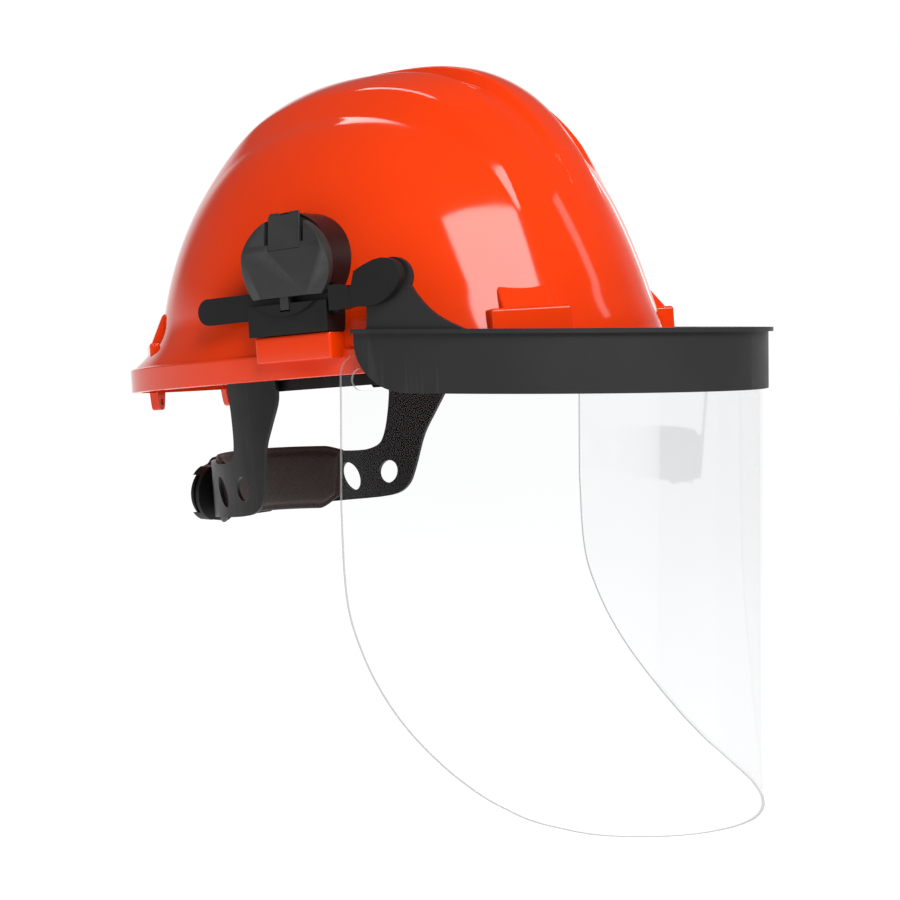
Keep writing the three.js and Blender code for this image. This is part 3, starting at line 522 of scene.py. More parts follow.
def make_shell():
    cols = 800
    a = 2 * np.pi * np.arange(cols) / cols
    back = np.sin(a) > 0

    def on_plan(z, step=None, off=0.0, H=DOME["H"]):
        B, Af, Ar, nf, nr, y0 = [float(v) for v in shell_axes(np.array(float(z)), H, step)]
        xr, yr = super_ellipse(B - off, Ar - off, nr, a)
        xf, yf = super_ellipse(B - off, Af - off, nf, a)
        return np.where(back, xr, xf), np.where(back, yr, yf) + y0

    st = 1.0
    zs = np.r_[[0.35], np.arange(1.0, 11.2, 0.95 * st), np.arange(11.3, 12.62, 0.16), np.arange(13.2, 42, 0.7 * st), np.arange(42, 65, 1.2 * st)]
    rows = []
    e0 = math.radians(25)
    for z in zs:
        qx, qy = on_plan(z)
        rr = np.hypot(qx, qy)
        rows.append((qx, qy, np.full(cols, z), qx / rr * math.cos(e0), qy / rr * math.cos(e0), np.full(cols, math.sin(e0))))
    C0 = np.array([0, DOME["y0"], 20.0])
    qx, qy = on_plan(65)
    th = np.arctan2(qy - C0[1], qx)
    eb = np.arctan2(45.0, np.hypot(qx, qy - C0[1]))
    ups = np.r_[np.arange(0.3, 64, 0.52 * st), [64.3]] / 64.5
    for u in ups:
        e = eb + (math.pi / 2 - eb) * u
        dx, dy, dz = np.cos(th) * np.cos(e), np.sin(th) * np.cos(e), np.sin(e)
        rows.append((C0[0] + dx * 110, C0[1] + dy * 110, C0[2] + dz * 110, dx, dy, dz))
    R = np.array([np.stack(r) for r in rows])            # rows, 6, cols
    Q, D = R[:, :3], R[:, 3:]
    nl = len(zs)
    up = np.full(Q[:, 0].shape, 24.0)
    lo = np.full(Q[:, 0].shape, -12.0)
    up[nl:], lo[nl:] = 60.0, -30.0
    for _ in range(19):
        m = (lo + up) / 2
        p = Q + D * m[:, None]
        inside = shell_field(p[:, 0], p[:, 1], p[:, 2]) < 0
        lo = np.where(inside, m, lo)
        up = np.where(inside, up, m)
    P = (Q + D * ((lo + up) / 2)[:, None]).transpose(0, 2, 1)   # rows, cols, 3
    # bottom edge, inner wall and inner dome
    bx, by = on_plan(0)
    k = 0.5 / np.hypot(bx, by)
    first = [np.stack([bx * (1 - k), by * (1 - k), np.full(cols, 0.0)], 1)]
    inner = []
    Hi = DOME["H"] - WALL
    iz = np.r_[[0.0, 5.0, RIM_H, 15, 18, 22, 27, 32, 36], 3 + Hi * np.sin(np.linspace(math.asin(33 / Hi), math.pi / 2, 26)[1:-1])]
    for z in iz:
        zz = 3 + (z - 3) * DOME["H"] / Hi
        if z <= RIM_H:
            x, y = on_plan(RIM_H, 1.5, WALL)
        elif z < FLARE_Z:
            x, y = on_plan(z, 1.5, WALL)
        else:
            x, y = on_plan(zz, 1.5, WALL)
        inner.append(np.stack([x, y, np.full(cols, z)], 1))
    V = np.concatenate([*inner[::-1], *first, *P])
    nr_ = len(inner) + 1 + len(P)
    F = []
    idx = np.arange(nr_ * cols).reshape(nr_, cols)
    nx = np.roll(idx, -1, axis=1)
    quads = np.stack([idx[:-1], nx[:-1], nx[1:], idx[1:]], -1).reshape(-1, 4)
    F = quads.tolist()
    V = np.r_[V, [[0, DOME["y0"], 3 + Hi]], [[0, DOME["y0"], 3 + DOME["H"] + CROWN]]]
    ni, no = len(V) - 2, len(V) - 1
    F += [[nx[0, i], idx[0, i], ni] for i in range(cols)] + [[idx[-1, i], nx[-1, i], no] for i in range(cols)]
    o = outward(obj("shell_skin", V, F))
    return o


def wall_point(a, k):
    B, Af, Ar, nf, nr, y0 = [float(v) for v in shell_axes(np.array(20.0), DOME["H"], 1.5)]

    def at(t):
        bk = math.sin(t) > 0
        x, y = super_ellipse(B - WALL, (Ar if bk else Af) - WALL, nr if bk else nf, t)
        return float(x), float(y) + y0

    x, y = at(a)
    (x1, y1), (x0, y0_) = at(a + 1e-3), at(a - 1e-3)
    nx, ny = y1 - y0_, -(x1 - x0)
    l = math.hypot(nx, ny)
    nx, ny = nx / l, ny / l
    return dict(x=k * x, y=y, nx=k * nx, ny=ny, rot=math.atan2(ny, k * nx))


SOCKETS = (math.radians(-46), math.radians(33))


def dome_solid(off):
    """The shell's outside as a plain solid, larger by off, to trim what sits against it."""
    cols, zs = 200, np.r_[-6.0, 12.31, 14, 16, 18, 20, 22.5, 25, 28, 32, 36, 3 + 150 * np.sin(np.linspace(0.2225, math.pi / 2, 24)[1:-1])]
    a = 2 * np.pi * np.arange(cols) / cols
    V = []
    for z in zs:
        B, Af, Ar, nf, nr, y0 = [float(v) for v in shell_axes(np.array(max(float(z), 12.31)), DOME["H"], 1.5)]
        xr, yr = super_ellipse(B + off, Ar + off, nr, a)
        xf, yf = super_ellipse(B + off, Af + off, nf, a)
        bk = np.sin(a) > 0
        V.append(np.stack([np.where(bk, xr, xf), np.where(bk, yr, yf) + y0, np.full(cols, z)], 1))
    n = len(V)
    V = np.r_[np.concatenate(V), [[0, 0, -6]], [[0, -2, 153 + off]]]
    F = [[j * cols + i, j * cols + (i + 1) % cols, (j + 1) * cols + (i + 1) % cols, (j + 1) * cols + i] for j in range(n - 1) for i in range(cols)]
    F += [[(i + 1) % cols, i, n * cols] for i in range(cols)] + [[(n - 1) * cols + i, (n - 1) * cols + (i + 1) % cols, n * cols + 1] for i in range(cols)]
    return outward(obj("t", V, F))


def bevelled(o, width, angle=32, segs=4):
    m = o.modifiers.new("round", "BEVEL")
    m.width, m.segments, m.limit_method, m.angle_limit = width, segs, "ANGLE", math.radians(angle)
    return applied(o)

shell = make_shell()
extra = []
# peak, a thin crescent under the guard
t = np.linspace(-math.pi, 0, 97)
ox, oy = super_ellipse(104, 166, 2.25, t)
ix, iy = super_ellipse(RIM["B"] - 2.5, RIM["Af"] - 2.5, RIM["nf"], np.linspace(-math.pi + 0.12, -0.12, 97))
keep = oy < -6
peak = prism([*zip(ox[keep], oy[keep])] + [*zip(ix[::-1], iy[::-1])], "z", 0.05, 3.5)
extra.append((peak, 0.9))
for k in (-1, 1):
    lug = prism([(-4.4, 1), (4.4, 1), (3.2, -6.5), (2.4, -8.8), (1.2, -9.6), (-1.2, -9.6), (-2.4, -8.8), (-3.2, -6.5)], "y", -2.6, 2.6)
    cut(lug, prism([(-1.3, -3.4), (1.3, -3.4), (1.2, -6.6), (-1.2, -6.6)], "y", -5, 5))
    extra.append((facing(lug, k * 30, 149.6, -k * math.radians(14.5)), 0.6))
    for s in SOCKETS:
        w = wall_point(s, k)
        so = cut(box(-9, 2, -14, 14, 8, 21), box(-6.8, -3.2, -11.4, 11.4, 0, 30))
        extra.append((facing(so, w["x"], w["y"], w["rot"]), 0.5))
    slot_boss = cut(box(k * 90, k * 114, -39.3, 5.6, 8, 20.2), box(k * 106, k * 109.6, -31.5, -0.5, 13.7, 22))
    extra.append((slot_boss, 1.1))
    for part, ang, px, py in ((box(-19.5, 19.5, -8, 12, 8, 25), 40, 61, -112.6), (prism([(12.5, 15), (-6.5, 15), (-6.5, 24), (4, 37), (12.5, 37)], "x", -13, 13), 40, 61, -112.6),
                              (box(-17, 17, -16, 5, 8, 25), -46, 66, 113), (prism([(-16.5, 15), (4, 15), (4, 24), (-3, 40), (-16.5, 40)], "x", -12, 12), -46, 66, 113)):
        extra.append((facing(part, k * px, py, k * math.radians(ang)), 1.5))
bits = []
for i, (o, bv) in enumerate(extra):
    bevelled(o, bv)
    if bv > 1:
        cut(o, dome_solid(-1.6))
    bits.append(o)
shell = joined("shell_skin", shell, *bits)
finish(shell, "shell_skin", "helmet", M_SHELL, rim, bevel=0, stands_for=["shell"], sharp=50)

# ------------------------------------------------------------------- guard
G_W, G_L, G_T, G_H = 113.2, 156.5, 2.4, 26.7
V_W, V_L, V_T, V_TOP = 110.3, 153.6, 1.5, -10
PIV_Y, PIV_Z = -30.7, 25.3
EPS = 30.0


def shield_plan(W, L, t):
    t = np.asarray(t, float)
    x = np.sign(t) * W * np.sin(np.abs(t) * np.pi / 2) ** 1.25
    g = ((x * x + EPS * EPS) ** 0.78 - EPS ** 1.56) / ((W * W + EPS * EPS) ** 0.78 - EPS ** 1.56)
    return x, -L * np.maximum(1 - g, 0) ** (1 / 2.145)


def shield_band(Wo, Lo, Wi, Li, n=200):
    t = np.linspace(-1, 1, n + 1)
    return [*zip(*shield_plan(Wo, Lo, t))] + [*zip(*[q[::-1] for q in shield_plan(Wi, Li, t)])]


N_BAND = 200
STUDS = (-0.905, 0.905, -0.46, 0.46, 0.0)


def stud_z(t):
    return -19.6 if abs(t) > 0.8 else -17.0


def stud_rod(t, r, a, b, r2=None, seg=40):
    x, y = [float(v) for v in shield_plan(V_W, V_L, t)]
    e = 1e-3
    (x1, y1), (x0, y0) = [tuple(float(v) for v in shield_plan(V_W, V_L, q)) for q in (t + e, t - e)]
    n = np.array([-(y1 - y0), x1 - x0])
    n /= np.linalg.norm(n)
    if n @ (x, y) < 0:
        n = -n
    o = rod("y", r, a, b, 0, 0, seg, r2)
    return warp(o, lambda P: np.c_[x + P[:, 1] * n[0] - P[:, 0] * n[1], y + P[:, 1] * n[1] + P[:, 0] * n[0], P[:, 2] + stud_z(t)])


low = spline([(-52, -G_H), (-44.7, -G_H), (-33.2, -26.3), (-25.3, -24.2), (-19.2, -20.5), (-14, -15.4), (-10.7, -8.2), (-9.8, 0)], 5)
high = spline([(-41.3, 17.8), (-46.9, 11.6), (-51.5, 8), (-56.4, 5.2), (-61, 3), (-66, 1)], 5)
side = [(-170, -G_H)] + low + [(-9.8, 1), (-16.6, 1.6), (-17, 3), (-17.2, 14), (-19.5, 21)] + arc(PIV_Y, PIV_Z, 9, 0, 205, 40) + high + [(-170, 1)]
guard = both(prism(shield_band(G_W, G_L, G_W - G_T, G_L - G_T, N_BAND), "z", -G_H, 40), prism(side, "x", -120, 120))
lip = both(prism(shield_band(G_W + 2.4, G_L + 2.4, 107.6, 120, N_BAND), "z", 0, 2.0), box(-125, 125, -170, -9.8, -1, 3))
add(guard, lip)
cut(guard, rod("x", 3.3, -125, 125, PIV_Y, PIV_Z, 48))
for t_ in STUDS:
    cut(guard, stud_rod(t_, 3.3, 0, 1.8))
for t_ in (-0.62, -0.3, 0.3, 0.62):
    xo, yo = [float(v) for v in shield_plan(G_W - 1.5, G_L - 1.5, t_)]
    xi, yi = [float(v) for v in shield_plan(105.6, 123, t_)]
    an, ln = math.atan2(yi - yo, xi - xo), math.hypot(xi - xo, yi - yo)
    web = prism([(0, 0.5), (0, -7), (4, -7), (ln, -2), (ln, 0.5)], "y", -0.9, 0.9)
    add(guard, facing(web, xo, yo, an))
finish(guard, "guard_skin", "shield", M_GUARD, level, bevel=0.55, angle=36, segs=3, stands_for=["brow_guard"], sharp=42)

# ------------------------------------------------------------------- visor
EDGE = [(1, -31), (1, -79.9), (.988, -125.3), (.965, -143), (.931, -159), (.883, -174.5), (.825, -188), (.763, -199.3), (.694, -208.7), (.6, -216.6), (.433, -222.4), (.2, -224.6), (0, -225)]
ts = spline(EDGE, 8)
pts = arc(-9, V_TOP - 9, 9, 90, 0, 12) + [(float(shield_plan(V_W, V_L, min(t_, 1))[1]), z_) for t_, z_ in ts] + [(-170, -225), (-170, V_TOP)]
visor = both(prism(shield_band(V_W, V_L, V_W - V_T, V_L - V_T, N_BAND), "z", -230, 0), prism(pts, "x", -120, 120))
sl = arc(-19 + 12.5 - 5, -20.9, 5, -90, 90, 14) + arc(-19 - 12.5 + 5, -20.9, 5, 90, 270, 14)
cut(visor, prism(sl, "x", -120, 120))
for t_ in STUDS[2:]:
    cut(visor, stud_rod(t_, 3.4, -10, 6))
finish(visor, "visor_skin", "shield", M_VISOR, level, bevel=0.4, angle=40, segs=2, stands_for=["visor"], sharp=42)
visor.data.materials.append(M_EDGE)
me = visor.data
cen = np.array([p.center for p in me.polygons])
nor = np.array([p.normal for p in me.polygons])
# a face belongs to the cut edge if it does not look along the sheet's own normal
tt = np.linspace(-1, 1, 801)
cx_, cy_ = shield_plan(V_W - V_T / 2, V_L - V_T / 2, tt)
curve = level(np.c_[cx_, cy_, np.zeros(len(tt))])[:, :2]
tang = np.gradient(curve, axis=0)
tang /= np.linalg.norm(tang, axis=1, keepdims=True)
near = np.array([np.argmin(((curve - c[:2]) ** 2).sum(1)) for c in cen])
nn = np.c_[-tang[near, 1], tang[near, 0]]
face_on = np.abs((nor[:, :2] * nn).sum(1))
for p, f in zip(me.polygons, face_on):
    p.material_index = 0 if f > 0.8 else 1

# studs
for t_, nm in zip(STUDS, ("right_rear", "left_rear", "right_front", "left_front", "centre")):
    s_ = add(stud_rod(t_, 3, -V_T - 1.0, 1.5), stud_rod(t_, 6, -V_T - 2.6, -V_T - 0.7, 5.2))
    cut(s_, stud_rod(t_, 1.6, -V_T - 3.2, -V_T - 1.6, seg=6))
    finish(s_, "stud_skin_" + nm, "shield", M_STUD, level, bevel=0.35, stands_for=["visor_stud_" + nm])

# -------------------------------------------------------------------- pods
POD_Y, POD_Z, POD_R, CAP_R, OVAL, LATCH_Y = -16.6, 52.4, 25.0, 23.2, 1.12, -18.6
STRAP_Z, STRAP_W, STRAP_T = 35.0, 12.8, 2.6
NOTCH_Z, SLOT_Z = POD_Z + 7.4, POD_Z + 10.2
PRY, PRZ = to_rim(PIV_Y, PIV_Z)


def oval(o):
    return warp(o, lambda P: np.c_[P[:, 0], POD_Y + (P[:, 1] - POD_Y) * OVAL, P[:, 2]])


def make_base():
    b = add(rod("x", POD_R, -112.2, -92, POD_Y, POD_Z, 112), box(-115.5, -92, -39.4, 7.5, 20.5, POD_Z - 17.6))
    add(b, both(oval(rod("x", 23.2, -117.2, -111.5, POD_Y, POD_Z, 112)), box(-120, -100, -60, 20, 20, POD_Z - 17.6)))
    cut(b, dome_solid(0.4))
    ch = cut(box(-113, -109, -60, 40, STRAP_Z - STRAP_W / 2 - 0.35, POD_Z - 10), box(-116, -112.2, -60, 40, 0, 36))
    cut(b, ch, rod("x", 4.4, -114, -103.6, POD_Y, POD_Z + 4, 48), box(-118, -112, POD_Y - 2.9, POD_Y + 2.9, POD_Z - 21.3, POD_Z - 14))
    add(b, box(-109.3, -106.3, -31, -1, 14.2, 24))
    cut(b, cut(rod("x", 9, -114, -107.5, POD_Y, POD_Z + 4, 48), rod("x", 6.4, -115, -100, POD_Y, POD_Z + 4, 48)))
    return b


def plane(p, n):
    n = Vector(n).normalized()
    q = Vector((0, 0, 1)).rotation_difference(n)
    o = box(-30, 30, -30, 30, 0, 30)
    return warp(o, lambda P: np.array([tuple(q @ Vector(v)) for v in P]) + np.array(p))


def make_cap():
    c = oval(add(rod("x", CAP_R, -115.9, -112.5, POD_Y, POD_Z, 128), rod("x", CAP_R - 1, -118.3, -115.9, POD_Y, POD_Z, 128, CAP_R)))
    cut(c, box(-120, -110, POD_Y - 40, POD_Y + 40, POD_Z - 40, POD_Z - 14.6))
    add(c, box(-117.6, -113.4, POD_Y - 2.4, POD_Y + 2.4, POD_Z - 20.6, POD_Z - 14), rod("x", 4.1, -113, -104, POD_Y, POD_Z + 4, 40))
    cut(c, plane((-118.3, POD_Y, NOTCH_Z), (-1, 0, 0.11)))
    for k in (-1, 1):
        cut(c, plane((-118.3, POD_Y + k * 23, POD_Z + 5.6), (-1, k * 0.42, -0.20)))
    cut(c, box(-125, -114.6, LATCH_Y - 11.7, LATCH_Y + 11.7, SLOT_Z, POD_Z + 40), box(-115, -113.4, LATCH_Y - 11.7, LATCH_Y + 11.7, POD_Z + 17, POD_Z + 40),
        box(-125, -114.6, LATCH_Y - 9.5, LATCH_Y + 9.5, NOTCH_Z - 0.15, SLOT_Z + 1))
    return c


def make_latch():
    l = add(box(-118.3, -115.9, LATCH_Y - 9.3, LATCH_Y + 9.3, NOTCH_Z + 0.05, POD_Z + 23.6), box(-118.0, -115.0, LATCH_Y - 8.7, LATCH_Y - 3.4, POD_Z + 22, POD_Z + 24.8),
            box(-118.0, -115.0, LATCH_Y + 3.4, LATCH_Y + 8.7, POD_Z + 22, POD_Z + 24.8))
    return warp(l, lambda P: np.c_[np.where(P[:, 0] < -117, P[:, 0] + 0.11 * (P[:, 2] - NOTCH_Z), P[:, 0]), P[:, 1], P[:, 2]])


def make_carrier():
    x0, x1, r = -112.0, -112.0 + STRAP_T, STRAP_W / 2
    c = prism([(-44, STRAP_Z - r)] + arc(41.8 - r, STRAP_Z, r, -90, 90, 28) + [(-44, STRAP_Z + r)], "x", x0, x1)
    W = [(-55.2, 30.4), (-59.9, 29.7), (-64.6, 29.7), (-69, 30.3), (-72.8, 31.6), (-76.1, 33.6), (-78.7, 35.7), (-80.7, 38), (-82.2, 40.3), (-82.8, 42.8), (-82.3, 45.3), (-80.8, 47.6), (-77.8, 49.4), (-74.1, 50.4), (-70.2, 50.4), (-66.2, 49.5), (-61.4, 47.9), (-56.8, 45.9)]
    wing = prism(spline(W, 5) + [(-54.5, 38.6)], "x", -116.6, -113.2)
    neck = prism([(-41.2, 29.6), (-46, 29.4), (-51.6, 30.2), (-58, 30.4), (-58, 38.4), (-52.5, 38.4), (-50.5, 40.4), (-43.7, 41.2), (-41.2, 41)], "x", -116.0, -109.4)
    add(c, wing, neck)
    return cut(c, rod("x", 3.3, -115, -110, PRY, PRZ, 40))


for maker, nm, body, mat, slot, bv in ((make_base, "pod_base", "helmet", M_POD_PAINTED_SHADE, "pod_black", 0.7), (make_cap, "pod_cap", "helmet", M_CAP_PAINTED_LIGHT, "pod_black", 0.45),
                                       (make_latch, "cap_latch", None, M_CAP_PAINTED_LIGHT, "pod_black", 0.3), (make_carrier, "carrier_arm", "carrier", M_ARM, "pod_black", 0.7)):
    r_ = maker()
    l_ = mirrored(r_)
    for o, sd in ((r_, "right"), (l_, "left")):
        finish(o, f"{nm}_skin_{sd}", body or "latch_" + sd, mat, rim, bevel=bv, angle=26 if nm == "pod_cap" else 32, stands_for=[f"{nm}_{sd}"])

for sd, k in (("right", -1), ("left", 1)):
    o = add(rod("x", 3, k * 114.7, k * 104.5, PIV_Y, PIV_Z, 48), rod("x", 6, k * 105.4, k * 103.2, PIV_Y, PIV_Z, 48, 5.2))
    cut(o, rod("x", 2.2, k * 104.4, k * 102, PIV_Y, PIV_Z, 6))
    finish(o, "pivot_pin_skin_" + sd, "carrier", M_STEEL, level, bevel=0.25, stands_for=["pivot_pin_" + sd])
    o = cut(rod("x", 6.8, k * 106.75, k * 105.75, PIV_Y, PIV_Z, 48), rod("x", 3.4, k * 110, k * 100, PIV_Y, PIV_Z, 48))
    finish(o, "friction_washer_skin_" + sd, "carrier", M_STEEL, level, bevel=0.15, stands_for=["friction_washer_" + sd])

# ----------------------------------------------------------------- harness
BAND_W, BAND_L, BAND_Y, BAND_T, BAND_N = 73.4, 98, 7, 1.8, 2.2
NAPE_W, NAPE_L, NAPE_Y, NAPE_T, NAPE_N = 65, 85, 67, 2.2, 2.2
KNOB_Z, KNOB_R = -88, 18


def ring_band(W, L, cy, n, T, a0, a1, N):
    a = np.radians(a0 + (a1 - a0) * np.arange(N + 1) / N)
    x, y = super_ellipse(W, L, n, a)
    u, v = super_ellipse(W - T, L - T, n, a)
    return [*zip(x, y + cy)] + [*zip(u[::-1], v[::-1] + cy)]


hb = prism(ring_band(BAND_W, BAND_L, BAND_Y, BAND_N, BAND_T, -238, 58, 150), "z", -5, 25)
cut(hb, prism([(64, -10), (110, -10), (110, 2), (70, 2)], "x", -120, 120))
for k in (-1, 1):
    cut(hb, rod("x", 2.6, k * 60, k * 90, 44, 10, 32))
    for i in range(4):
        y = -22 + i * 12
        cut(hb, prism(arc(y, 14.4, 1.6, 0, 180, 8) + arc(y, 7.6, 1.6, 180, 360, 8), "x", k * 60, k * 90))
finish(hb, "headband_skin", "helmet", M_BAND, rim, bevel=0.35, stands_for=["headband"])


def lean(z):
    return 1 + (z + 80) * 0.0026


def make_nape_strap():
    fr = spline([(66, -20), (66.6, -33), (72, -45), (78, -58), (82, -78), (84.5, -86), (89, -90.8), (96, -93.4), (123, -96.8), (140, -98.6), (156, -99.5)], 4)
    bk = spline([(156, -69), (130, -68.5), (118, -68.4), (110, -67.2), (104.5, -64), (102.4, -58), (101.5, -45), (102, -30), (103, -12)], 4)
    s = both(prism(ring_band(NAPE_W + NAPE_T, NAPE_L + NAPE_T, NAPE_Y, NAPE_N, NAPE_T, -12, 88.5, 90), "z", -110, 10), prism([(66, 0)] + fr + bk + [(103, 0)], "x", 0, 120))
    cut(s, box(-1, 14, 100, 170, -110, 0))

    def ell(y, z, a, b, t_):
        u = np.arange(40) * 2 * np.pi / 40
        c, d = math.cos(t_), math.sin(t_)
        return [*zip(y + a * np.cos(u) * c - b * np.sin(u) * d, z + a * np.cos(u) * d + b * np.sin(u) * c)]

    cut(s, prism(ell(98, -80, 5.6, 6.4, 0), "x", 30, 90), prism(ell(118.5, -83, 8.4, 4.3, 1.15), "x", 30, 90), prism(ell(84.4, -14, 2.7, 2.7, 0), "x", 30, 120))
    return warp(s, lambda P: np.c_[P[:, 0] * lean(P[:, 2]), P[:, 1], P[:, 2]])


l_ = make_nape_strap()
r_ = mirrored(l_)
for o, sd in ((l_, "left"), (r_, "right")):
    finish(o, "nape_strap_skin_" + sd, "helmet", M_BAND, level, bevel=0.5, segs=3, stands_for=["nape_strap_" + sd])


def pad(name, cy, W, L, n, a0, a1, T, z0, z1, node, to_row, leaned, quilt):
    """Crowned pad on the inside of a band: flat towards the band, swelling inwards, with a sewn edge."""
    NA, NZ = ((150, 30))
    a = np.radians(np.linspace(a0, a1, NA + 1))
    u = np.linspace(0, 1, NA + 1)
    v = np.linspace(0, 1, NZ + 1)
    length = abs(a1 - a0) / 180 * math.pi * (W + L) / 2
    rows_o, rows_i = [], []
    for vv in v:
        xo, yo = super_ellipse(W, L, n, a)
        xi, yi = super_ellipse(W - T, L - T, n, a)
        zl, zh = np.array([z0(x) for x in xo]), np.array([z1(x) for x in xo])
        z = zl + (zh - zl) * vv
        # distance from the sewn edge, in mm
        de = np.minimum(np.minimum(vv, 1 - vv) * (zh - zl), np.minimum(u, 1 - u) * length)
        crown = 0.34 + 0.66 * (1 - np.exp(-de / 4.2))
        seam = 0.30 * np.exp(-((de - 3.0) / 0.8) ** 2)                       # stitched line
        if quilt:
            q = np.abs(((u * quilt) % 1) - 0.5) * 2                          # sewn channels
            ch = np.exp(-((1 - q) * length / quilt / 2 / 1.5) ** 2) * smooth01((de - 3) / 4)
            crown = crown * (1 - 0.35 * ch)
        f = np.clip(crown - seam, 0.15, 1)
        rows_o.append(np.stack([xo, yo + cy, z], 1))
        rows_i.append(np.stack([xo + (xi - xo) * f, yo + (yi - yo) * f + cy, z], 1))
    O, I = np.array(rows_o), np.array(rows_i)
    nz, na = O.shape[:2]
    V = np.r_[O.reshape(-1, 3), I.reshape(-1, 3)]
    if leaned:
        V[:, 0] *= lean(V[:, 2])
    idx = np.arange(nz * na).reshape(nz, na)
    j = idx + nz * na
    F = []
    for A, fl in ((idx, False), (j, True)):
        q = np.stack([A[:-1, :-1], A[:-1, 1:], A[1:, 1:], A[1:, :-1]], -1).reshape(-1, 4)
        F += (q[:, ::-1] if fl else q).tolist()
    loop = [*idx[0, :], *idx[1:, -1], *idx[-1, -2::-1], *idx[-2:0:-1, 0]]
    F += [[p, p + nz * na, q + nz * na, q] for p, q in zip(loop, loop[1:] + loop[:1])]
    o = outward(obj(name, V, F))
    m = o.modifiers.new("sub", "SUBSURF")
    m.levels = m.render_levels = 1
    applied(o)
    finish(o, name, "helmet", M_PAD, to_row, bevel=0, stands_for=[node], sharp=80)
    return o


pad("nape_pad_skin", NAPE_Y, NAPE_W - 0.6, NAPE_L - 0.6, NAPE_N, 39.5, 140.5, 5.5, lambda x: -101 + 9 * float(smooth01((abs(x) - 44) / 10)), lambda x: -65.5 - 3 * float(smooth01((abs(x) - 44) / 10)), "nape_pad", level, True, 0)
pad("brow_pad_skin", BAND_Y, BAND_W - BAND_T - 0.6, BAND_L - BAND_T - 0.6, BAND_N, -150, -30, 5, lambda x: -4, lambda x: 27, "brow_pad", rim, False, 7)


def hanger_place(k, front):
    w = wall_point(SOCKETS[0 if front else 1], k)
    d = 5.0
    while d < 60:
        x, y = w["x"] - w["nx"] * d, w["y"] - w["ny"] * d - BAND_Y
        if (abs(x) / BAND_W) ** BAND_N + (abs(y) / BAND_L) ** BAND_N <= 1:
            break
        d += 0.05
    d -= 1.9
    return w, d, w["x"] - w["nx"] * (d - 1.2), w["y"] - w["ny"] * (d - 1.2)


def make_webbing(k, lift, name, node):
    _, _, ax, ay = hanger_place(k, True)
    _, _, bx, by = hanger_place(-k, False)
    R, top, N, e = math.hypot(ax - bx, ay - by) / 2 + 0.4, 112 + lift, 110, 2.25
    t = np.pi * np.arange(N + 1) / N
    c, s = np.cos(t), np.sin(t)
    r, z = np.sign(c) * np.abs(c) ** (2 / e), np.abs(s) ** (2 / e)
    mid = np.stack([R * r, 30.4 + (top + 0.75 - 30.4) * z], 1)
    mid[0, 1] = mid[-1, 1] = 30.4
    tg = np.gradient(mid, axis=0)
    tg /= np.linalg.norm(tg, axis=1, keepdims=True)
    nm = np.stack([tg[:, 1], -tg[:, 0]], 1)
    ln = np.r_[0, np.cumsum(np.linalg.norm(np.diff(mid, axis=0), axis=1))]
    # section: a flat strap with rounded, slightly thicker selvedges
    ys = np.r_[-9.5, -9.3, -8.6, -7.6, -6.5, np.linspace(-5.5, 5.5, 7), 6.5, 7.6, 8.6, 9.3, 9.5]
    half = np.interp(np.abs(ys), [0, 6.5, 7.6, 8.6, 9.3, 9.5], [0.52, 0.52, 0.66, 0.70, 0.45, 0.12])
    sec = [(y, h) for y, h in zip(ys, half)] + [(y, -h) for y, h in zip(ys[::-1], half[::-1])]
    K = len(sec)
    V = []
    for i in range(N + 1):
        for y, h in sec:
            p = mid[i] + nm[i] * h
            V.append((p[0], y, p[1]))
    F = [[i * K + j, i * K + (j + 1) % K, (i + 1) * K + (j + 1) % K, (i + 1) * K + j] for i in range(N) for j in range(K)]
    F += [list(range(K))[::-1], [N * K + j for j in range(K)]]
    o = obj(name, V, F)
    uv = o.data.uv_layers.new(name="strap")
    for p in o.data.polygons:
        for li, vi in zip(p.loop_indices, p.vertices):
            i, j = divmod(vi, K)
            uv.data[li].uv = (ln[i] / 1000, sec[j][0] / 1000)
    an = math.atan2(ay - by, ax - bx)
    ca, sa = math.cos(an), math.sin(an)
    warp(o, lambda P: np.c_[P[:, 0] * ca - P[:, 1] * sa + (ax + bx) / 2, P[:, 0] * sa + P[:, 1] * ca + (ay + by) / 2, P[:, 2]])
    outward(o)
    warp(o, rim)
    me_ = o.data
    me_.polygons.foreach_set("use_smooth", [True] * len(me_.polygons))
    me_.set_sharp_from_angle(angle=math.radians(60))
    me_.materials.append(M_WEB)
    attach(o, "helmet")
    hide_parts(node)
    return o


make_webbing(-1, 0, "crown_strap_lower_skin", "crown_strap_lower")
make_webbing(1, 3.2, "crown_strap_upper_skin", "crown_strap_upper")

for front in (True, False):
    for k, sd in ((-1, "right"), (1, "left")):
        w, d, _, _ = hanger_place(k, front)
        h = add(box(-6.5, -3.5, -11, 11, 2, 24), box(-d, -3.5, -7, 7, 2, 5), box(-d, -d + 2.4, -10.5, 10.5, 2, 30), box(-d + 2, -d + 6, -1, 1, 3, 12), box(-10, -5, -1, 1, 3, 7))
        nm = ("hanger_front_" if front else "hanger_rear_") + sd
        finish(facing(h, w["x"], w["y"], w["rot"]), nm + "_skin", "helmet", M_BAND, rim, bevel=0.5, stands_for=[nm])

